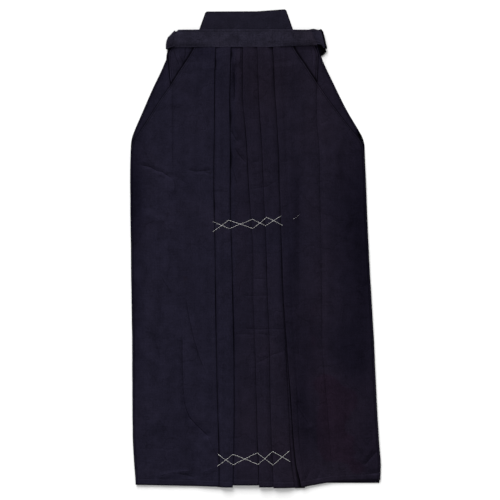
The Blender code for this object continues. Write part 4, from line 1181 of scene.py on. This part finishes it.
# %% [markdown]
# ## The ties
# Four ties belong to the garment. The front two leave the band's ends, turn round the waist's corners
# and run down behind; at the right end the tie is looped back, so its inner face shows, painted nearly
# black with its rolled edge for the shade inside the loop. Behind, all of them are folded away in
# straight runs. A tie is a flat tube of cloth, thinner at its two edges.

# %% Ties as ribbons: straight rows and fold-overs
LEFT_CURL = ((-175.5, 471.6), (-191.6, 455.0), (-194.4, 444.0), (-194.6, 431.0))
LEFT_OUT = ((-0.6, 0.8), (-0.85, 0.53), (-1.0, 0.1), (-1.0, 0.0))
RIGHT_CURL = ((140.0, 474.6), (145.4, 468.4), (151.2, 443.0), (153.8, 431.9))
RIGHT_OUT = ((0.7, 0.7), (0.95, 0.31), (0.97, 0.24), (1.0, 0.0))
RIGHT_INSIDE = (
    ((139.0, 472.0), (151.9, 425.4)),
    ((138.8, 470.0), (146.5, 419.5)),
    ((138.5, 468.0), (141.2, 416.6)),
)
SECOND_FOLD, SECOND_OUT = ((138.0, 464.0), (99.6, 397.0)), (-0.87, 0.49)
STRAP_LOW, STRAP_HIGH = STRAP / 2, ONE_STRAP + STRAP / 2
PARTS = (0.0, 0.33, 0.67, 1.0)


def ribbon_row(first, second, height):
    """A straight row across a tie, between its two edges."""
    return [(*(np.array(first) * (1 - part) + np.array(second) * part), height) for part in PARTS]


def fold_over(edge, outwards, height_from, height_to, steps=8):
    """Rows of a tie that wraps round a line of edge points, each bulging along its own direction."""
    radius, middle = abs(height_from - height_to) / 2, (height_from + height_to) / 2
    falls = 1.0 if height_from > height_to else -1.0
    rows = []
    for step in range(steps + 1):
        angle = math.pi * (0.5 - step / steps) * falls
        reach = radius * math.cos(angle) - radius - STRAP / 2
        height = middle + radius * math.sin(angle)
        rows.append([(x + out[0] * reach, y + out[1] * reach, height) for (x, y), out in zip(edge, outwards)])
    return rows


def straight_edge(first, second):
    return [tuple(np.array(first) * (1 - part) + np.array(second) * part) for part in PARTS]


def level_run(ups, run, height):
    return [ribbon_row((run[1], up), (run[0], up), height) for up in ups]


def folded_run(run, tops, end):
    """Down the back on the floor, round the low fold, and up again to the free end."""
    edge = straight_edge((run[1], FRONT_STRAP_LOW), (run[0], FRONT_STRAP_LOW))
    rows = level_run(tops, run, STRAP_LOW)
    rows += fold_over(edge, [(0.0, -1.0)] * 4, STRAP_LOW, STRAP_HIGH)
    return rows + level_run(even(-300.0, end, 40), run, STRAP_HIGH)


def left_tie_rows():
    start = band_front(-172.0, 460.0) + 0.2
    rows = [ribbon_row((BAND_LEFT_SLANT[0] + 6.0, 471.0), (BAND_LEFT_SLANT[1] + 8.0, 436.0), start - 1.6)]
    rows.append(ribbon_row((BAND_LEFT_SLANT[0] + 1.0, 471.4), (BAND_LEFT_SLANT[1] + 1.5, 434.0), start - 1.2))
    rows += fold_over(LEFT_CURL, LEFT_OUT, start, STRAP_LOW)
    rows.append(ribbon_row((LEFT_RUN[1] - 8.0, 440.0), (LEFT_RUN[0] + 0.6, 418.0), STRAP_LOW))
    return rows + folded_run(LEFT_RUN, even(400.0, -300.0, 40), FRONT_STRAP_END["left"])


def right_tie_rows():
    start = band_front(120.0, 460.0) + 0.2
    rows = [ribbon_row((BAND_RIGHT_SLANT[0] - 9.0, 470.5), (BAND_RIGHT_SLANT[1] - 9.0, 441.5), start - 1.4)]
    rows.append(ribbon_row((BAND_RIGHT_SLANT[0] - 1.0, 473.0), (BAND_RIGHT_SLANT[1] - 1.0, 440.5), start - 1.2))
    rows.append(ribbon_row((BAND_RIGHT_SLANT[0] + 7.0, 474.0), (BAND_RIGHT_SLANT[1] + 7.0, 438.5), start))
    for reach in (8.0, 5.5):
        curl = zip(RIGHT_CURL, RIGHT_OUT)
        rows.append([(x - reach * out[0], y - 0.5 * reach * out[1], start) for (x, y), out in curl])
    # Painted light and shade on the right loop: a thin painted highlight just before it rolls over, then its rolled
    # edge and inner face painted nearly black for the shade inside the loop.
    shades = [1.0, 1.0, 1.0, 1.0, 1.1, 0.2] + [0.06] * 8
    rows += fold_over(RIGHT_CURL, RIGHT_OUT, start, STRAP_HIGH)
    for upper, lower in RIGHT_INSIDE:
        rows.append(ribbon_row(upper, lower, STRAP_HIGH))
        shades.append(0.06)
    rows += fold_over(straight_edge(*SECOND_FOLD), [SECOND_OUT] * 4, STRAP_HIGH, STRAP_LOW)
    rows += folded_run(RIGHT_RUN, even(385.0, -300.0, 40), FRONT_STRAP_END["right"])
    return rows, shades + [1.0] * (len(rows) - len(shades))


# %% The four ties, finer across and with thin edges
ACROSS_TIE = (0.0, 0.02, 0.06, 0.15, 0.3, 0.5, 0.7, 0.85, 0.94, 0.98, 1.0)
TIE_EDGE = np.array([0.45, 0.8, 1.05, 1.0, 0.95, 0.95, 0.95, 1.0, 1.05, 0.8, 0.45])


def tie_piece(name, rows, node, shades=1.0):
    rows = np.array(rows)
    places = np.array(PARTS)
    sheet = np.stack([[np.interp(ACROSS_TIE, places, row[:, i]) for row in rows] for i in range(3)], axis=-1)
    wide = np.linalg.norm(sheet[:, -1] - sheet[:, 0], axis=-1)[:, None]
    edge = np.minimum(np.array(ACROSS_TIE), 1.0 - np.array(ACROSS_TIE)) * wide
    # The side mark gives painted shade along each tie's two edges.
    tone = np.reshape(shades, (-1, 1)) * (0.95 + 0.06 * wave(sheet[..., 1] / 43.0 + sheet[..., 0] / 17.0))
    piece = cloth_shell(name, sheet, 1.3 * TIE_EDGE, {"side": edge, "tone": tone})
    dress(piece, BAND, "band_cotton", node)
    return sheet


tie_sheets = {"left_front_tie": tie_piece("left_front_tie", left_tie_rows(), "front_strap_left")}
right_rows, right_shades = right_tie_rows()
tie_sheets["right_front_tie"] = tie_piece("right_front_tie", right_rows, "front_strap_right", right_shades)
for side in ("left", "right"):
    rows = level_run(even(BACK_STRAP_TOP, BACK_STRAP_LOW, 50), BACK_RUNS[side], STRAP_LOW)
    tie_sheets[side + "_back_tie"] = tie_piece(side + "_back_tie", rows, "back_strap_" + side)

# %% [markdown]
# ## The back board
# The board at the back of the waist is a stiff sheet covered tightly in the same cloth. It is modelled
# as by hand: a box at its size, divided once, its far end made narrower and set on its slope, the two
# top corners rounded, a border set in on its faces for the shade along the rim, and the rim softened.

# %% The board from a box
clear_selection()
board_deep = (BOARD_TOP[2] + BOARD_TOP[3]) / 2 - BOARD_BASE[2]
board_middle = ((BOARD_BASE[0] + BOARD_BASE[1]) / 2, BOARD_BASE[2] + board_deep / 2)
bpy.ops.mesh.primitive_cube_add(size=1.0)
board = bpy.context.object
board.name = "back_board_cover"
bpy.ops.object.mode_set(mode="EDIT")
bpy.ops.transform.resize(value=((BOARD_BASE[1] - BOARD_BASE[0]) * MM, board_deep * MM, (BOARD - 0.1) * MM))
bpy.ops.transform.translate(value=(board_middle[0] * MM, board_middle[1] * MM, (BOARD - 0.1) * MM / 2 + 0.00005))
bpy.ops.mesh.subdivide(number_cuts=1)
bpy.ops.object.mode_set(mode="OBJECT")


def select_parts(piece, chosen):
    """In edit mode, the vertices whose place passes the test, with the edges and faces between them."""
    bpy.ops.object.mode_set(mode="EDIT")
    bpy.ops.mesh.select_mode(type="VERT")
    bpy.ops.mesh.select_all(action="DESELECT")
    bpy.ops.object.mode_set(mode="OBJECT")
    for vertex in piece.data.vertices:
        vertex.select = chosen(vertex.co / MM)
    bpy.ops.object.mode_set(mode="EDIT")


for low, slope in ((True, BOARD_TOP[0::2]), (False, BOARD_TOP[1::2])):
    corner_x = BOARD_BASE[0] if low else BOARD_BASE[1]
    shift = Vector((slope[0] - corner_x, slope[1] - BOARD_BASE[2] - board_deep, 0.0)) * MM
    for share in (0.5, 1.0):
        height = BOARD_BASE[2] + share * board_deep
        select_parts(board, lambda place: abs(place.y - height) < 1.0 and abs(place.x - corner_x) < 1.0)
        bpy.ops.transform.translate(value=share * shift)
    bpy.ops.mesh.bevel(offset=0.004, segments=5, affect="EDGES")
    bpy.ops.object.mode_set(mode="OBJECT")
select_parts(board, lambda place: place.y > 480.0 and abs(place.x - board_middle[0]) < 1.0)
bend = (BOARD_BEND[0] - board_middle[0], BOARD_BEND[1] - BOARD_BASE[2] - board_deep)
bpy.ops.transform.translate(value=(bend[0] * MM, bend[1] * MM, 0.0))
for above in (True, False):
    select_parts(board, lambda place: (place.z > BOARD - 0.2) if above else (place.z < 0.1))
    bpy.ops.mesh.inset(thickness=0.003)
    bpy.ops.object.mode_set(mode="OBJECT")
print("the board's cover starts with", len(board.data.vertices), "corners")

# %% Its rim and its surface
softened = board.modifiers.new("rim", "BEVEL")
softened.width, softened.segments, softened.limit_method = 0.0009, 3, "ANGLE"
softened.angle_limit = math.radians(60.0)
bpy.ops.object.modifier_apply(modifier="rim")
bpy.ops.object.mode_set(mode="EDIT")
bpy.ops.mesh.select_all(action="SELECT")
bpy.ops.mesh.quads_convert_to_tris()
bpy.ops.object.mode_set(mode="OBJECT")
bpy.ops.object.shade_smooth_by_angle(angle=math.radians(35.0))
outline = [(BOARD_BASE[0], BOARD_BASE[2]), (BOARD_TOP[0], BOARD_TOP[2]), BOARD_BEND]
outline += [(BOARD_TOP[1], BOARD_TOP[3]), (BOARD_BASE[1], BOARD_BASE[2])]


def from_outline(place):
    """How far a place on the board is from its sloping sides and its top edge, in millimetres."""
    gaps = []
    for start, end in zip(outline[:-1], outline[1:]):
        way, reach = Vector(end) - Vector(start), place.xy / MM - Vector(start)
        along = min(max(reach.dot(way) / way.length_squared, 0.0), 1.0)
        gaps.append((reach - along * way).length)
    return min(gaps)


rims = [from_outline(vertex.co) for vertex in board.data.vertices]
for key, usual in ATTRIBUTES.items():
    store = board.data.attributes.new(key, "FLOAT", "POINT")
    store.data.foreach_set("value", rims if key == "side" else [usual] * len(rims))
grain_map = board.data.uv_layers.active
grain_map.name = "grain"
for loop in board.data.loops:
    grain_map.data[loop.index].uv = board.data.vertices[loop.vertex_index].co.xy
COVER = cotton("board_cotton", (0.0101, 0.0092, 0.0164), LINT, VIOLET, 7.5, ())
dress(board, COVER, "band_cotton", "back_board")
clear_selection()

# %% [markdown]
# ## Sewing
# The machine stitches hold the hem, the slits and the pleats' edges, in thread of the cloth's colour.
# One stitch is a small ball drawn out long, modelled once; each seam is a row of copies. To lie on the
# cloth a stitch asks, from above, where the cloth is: a ray straight down gives the height.

# %% What lies on top at a place
dg = bpy.context.evaluated_depsgraph_get()
TOPS = [BVHTree.FromObject(piece, dg) for piece in (left_panel, right_panel, band)]


def top_at(across, up):
    """The height of the garment's upper side at a place, in millimetres."""
    hits = [tree.ray_cast(Vector((across * MM, up * MM, 0.2)), Vector((0.0, 0.0, -1.0)))[0] for tree in TOPS]
    return max([hit.z / MM for hit in hits if hit], default=0.0)


# %% One stitch, and rows of its copies
STITCH, STITCH_STEP = 2.7, 3.6
bpy.ops.mesh.primitive_uv_sphere_add(segments=6, ring_count=4, radius=0.5 * MM)
one_stitch = bpy.context.object
bpy.ops.object.mode_set(mode="EDIT")
bpy.ops.transform.rotate(value=math.radians(90.0), orient_axis="Y", center_override=(0.0, 0.0, 0.0))
bpy.ops.transform.resize(value=(STITCH, 0.56, 0.44))
bpy.ops.object.mode_set(mode="OBJECT")
stitch_points = np.array([vertex.co for vertex in one_stitch.data.vertices])
stitch_faces = [list(polygon.vertices) for polygon in one_stitch.data.polygons]
bpy.data.objects.remove(one_stitch)


def stitches(name, seams, step=STITCH_STEP, sink=0.05):
    """One piece of sewing: copies of the stitch along each line of points (across, up)."""
    points, faces = [], []
    for seam in seams:
        seam = np.array(seam, float)
        run = np.concatenate([[0.0], np.cumsum(np.linalg.norm(np.diff(seam, axis=0), axis=1))])
        for start in np.arange(1.0, run[-1] - STITCH, step):
            ends = [[np.interp(start + reach, run, seam[:, i]) for i in (0, 1)] for reach in (0.0, STITCH)]
            first, last = (Vector((x, y, top_at(x, y) - sink)) * MM for x, y in ends)
            if abs(first.z - last.z) > 0.0012:
                continue
            along = (last - first).normalized()
            turn = along.to_track_quat("X", "Z").to_matrix()
            placed = stitch_points @ np.array(turn).T + np.array((first + last) / 2)
            faces += [[i + len(points) for i in face] for face in stitch_faces]
            points += placed.tolist()
    mesh = bpy.data.meshes.new(name)
    mesh.from_pydata(points, [], faces)
    mesh.shade_smooth()
    piece = bpy.data.objects.new(name, mesh)
    bpy.context.scene.collection.objects.link(piece)
    mesh.materials.append(SEWING)
    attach(piece, "root")
    print(name, "holds", len(points) // len(stitch_points), "stitches")


def beside(name, reach, top, low, count=60):
    """A line that keeps its distance from a fold or side edge of the front."""
    return [(line(FRONT, name, up) + reach, up) for up in even(top, low, count)]


# %% The seams of the front
def hem_run(low, high, hem):
    return [(x, float(hem(x)) + 13.0) for x in even(low, high, 40)]


hem_seams = [hem_run(-256.0, -82.0, lambda x: np.interp(x, *zip(*HEM_LEFT)))]
hem_seams += [hem_run(-78.5, -52.0, lambda x: HEM_STRIP_2), hem_run(-48.0, 4.0, lambda x: HEM_CENTRE)]
hem_seams += [hem_run(8.5, 35.5, lambda x: HEM_STRIP_3), hem_run(40.0, 82.0, lambda x: HEM_STRIP_4)]
hem_seams += [hem_run(100.0, 265.0, lambda x: np.interp(x, *zip(*HEM_RIGHT)))]
stitches("hem_sewing", hem_seams)
slit_seams = [beside("side_left", 3.7, 432.0, 232.0), beside("side_right", -3.7, 432.0, 232.0)]
stitches("slit_sewing", slit_seams)
pleat_seams = [beside("fold_1", -7.5, 430.0, -508.0, 90), beside("fold_2", -7.5, 430.0, -508.0, 90)]
pleat_seams += [beside(name, 7.5, 430.0, -508.0, 90) for name in ("fold_3", "fold_4")]
stitches("pleat_sewing", pleat_seams)
band_seams = [[(x, band_bottom(x) + 5.0) for x in even(-176.0, 126.0, 40)]]
band_seams.append([(x, 467.0) for x in even(-168.0, 116.0, 40)])
stitches("band_sewing", band_seams)

# %% [markdown]
# ## Basting
# Two pairs of long white stitches cross the pleats in zigzags, as a tailor puts them in to hold pleats
# until the first wear. Each thread lies on the cloth and bridges the steps between two pleats. It is a
# curve with a round section, made a mesh at the end.

# %% The white threads
THREAD_RADIUS = 0.18
LOOSE_RADIUS = 0.05
ZIGZAGS = (
    ("basting_upper_1", ((-93, 59), (-57, 44), (-7, 64), (21, 50), (54, 71))),
    ("basting_upper_2", ((-93, 37), (-59, 62), (-7, 44), (23, 68), (57, 51))),
    ("basting_lower_1", ((-82, -442), (-49, -465), (3, -439), (37, -465), (72, -435))),
    ("basting_lower_2", ((-83, -468), (-50, -442), (4, -464), (36, -436), (74, -458))),
    ("loose_thread_end", ((80.5, 65.0), (84.5, 67.0), (89.0, 70.2), (93.0, 74.0))),
)


def thread_piece(name, corners, radius):
    points, lift = [], 0.7 * radius
    for number, (start, end) in enumerate(zip(corners[:-1], corners[1:])):
        for part in even(0.0, 1.0, 14, last=number == len(corners) - 2):
            x, y = (start[i] * (1 - part) + end[i] * part for i in (0, 1))
            bow = 0.35 * math.sin(math.pi * part) * (1 if number % 2 else -1)
            near = [top_at(x + reach, y + bow) for reach in (-3.0, -1.5, 0.0, 1.5, 3.0)]
            points.append((x, y + bow, max(near) + lift))
    data = bpy.data.curves.new(name, "CURVE")
    data.dimensions, data.bevel_depth, data.bevel_resolution = "3D", radius * MM, 2
    data.use_fill_caps = True
    spline = data.splines.new("POLY")
    spline.points.add(len(points) - 1)
    for knot, place in zip(spline.points, points):
        knot.co = (*(value * MM for value in place), 1.0)
    piece = bpy.data.objects.new(name, data)
    bpy.context.scene.collection.objects.link(piece)
    clear_selection()
    piece.select_set(True)
    bpy.context.view_layer.objects.active = piece
    bpy.ops.object.convert(target="MESH")
    piece = bpy.context.object
    piece.data.materials.clear()
    piece.data.materials.append(BASTING)
    piece.data.shade_smooth()
    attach(piece, "root")
    clear_selection()
    return piece


for name, corners in ZIGZAGS:
    thread_piece(name, corners, THREAD_RADIUS if "basting" in name else LOOSE_RADIUS)
print(len(ZIGZAGS), "white threads")

# %% [markdown]
# ## What each cloth was before it was folded
# The size of each sheet's cut is printed, its widest row, longest column and area, to tell how much
# cloth is in it. The sizes are measured on the sheets themselves.

# %% The cuts
declare_cut(left_panel, left_sheet, ["left_back_panel", "left_side_tuck"])
declare_cut(right_panel, right_sheet, ["right_back_panel", "right_side_tuck"])
for side in ("left", "right"):
    declare_cut(bpy.data.objects[side + "_back_panel"], back_sheets[side], [side + "_front_tie"])
    declare_cut(bpy.data.objects[side + "_side_tuck"], tuck_sheets[side], [side + "_back_panel"])
    declare_cut(bpy.data.objects[side + "_gusset"], gusset_sheets[side], [side + "_back_panel"])
declare_cut(band, band_cloth, ["left_front_panel", "right_front_panel"])
for name, sheet in tie_sheets.items():
    below = "floor" if "back" in name else name.split("_")[0] + "_back_panel"
    declare_cut(bpy.data.objects[name], sheet, [below])
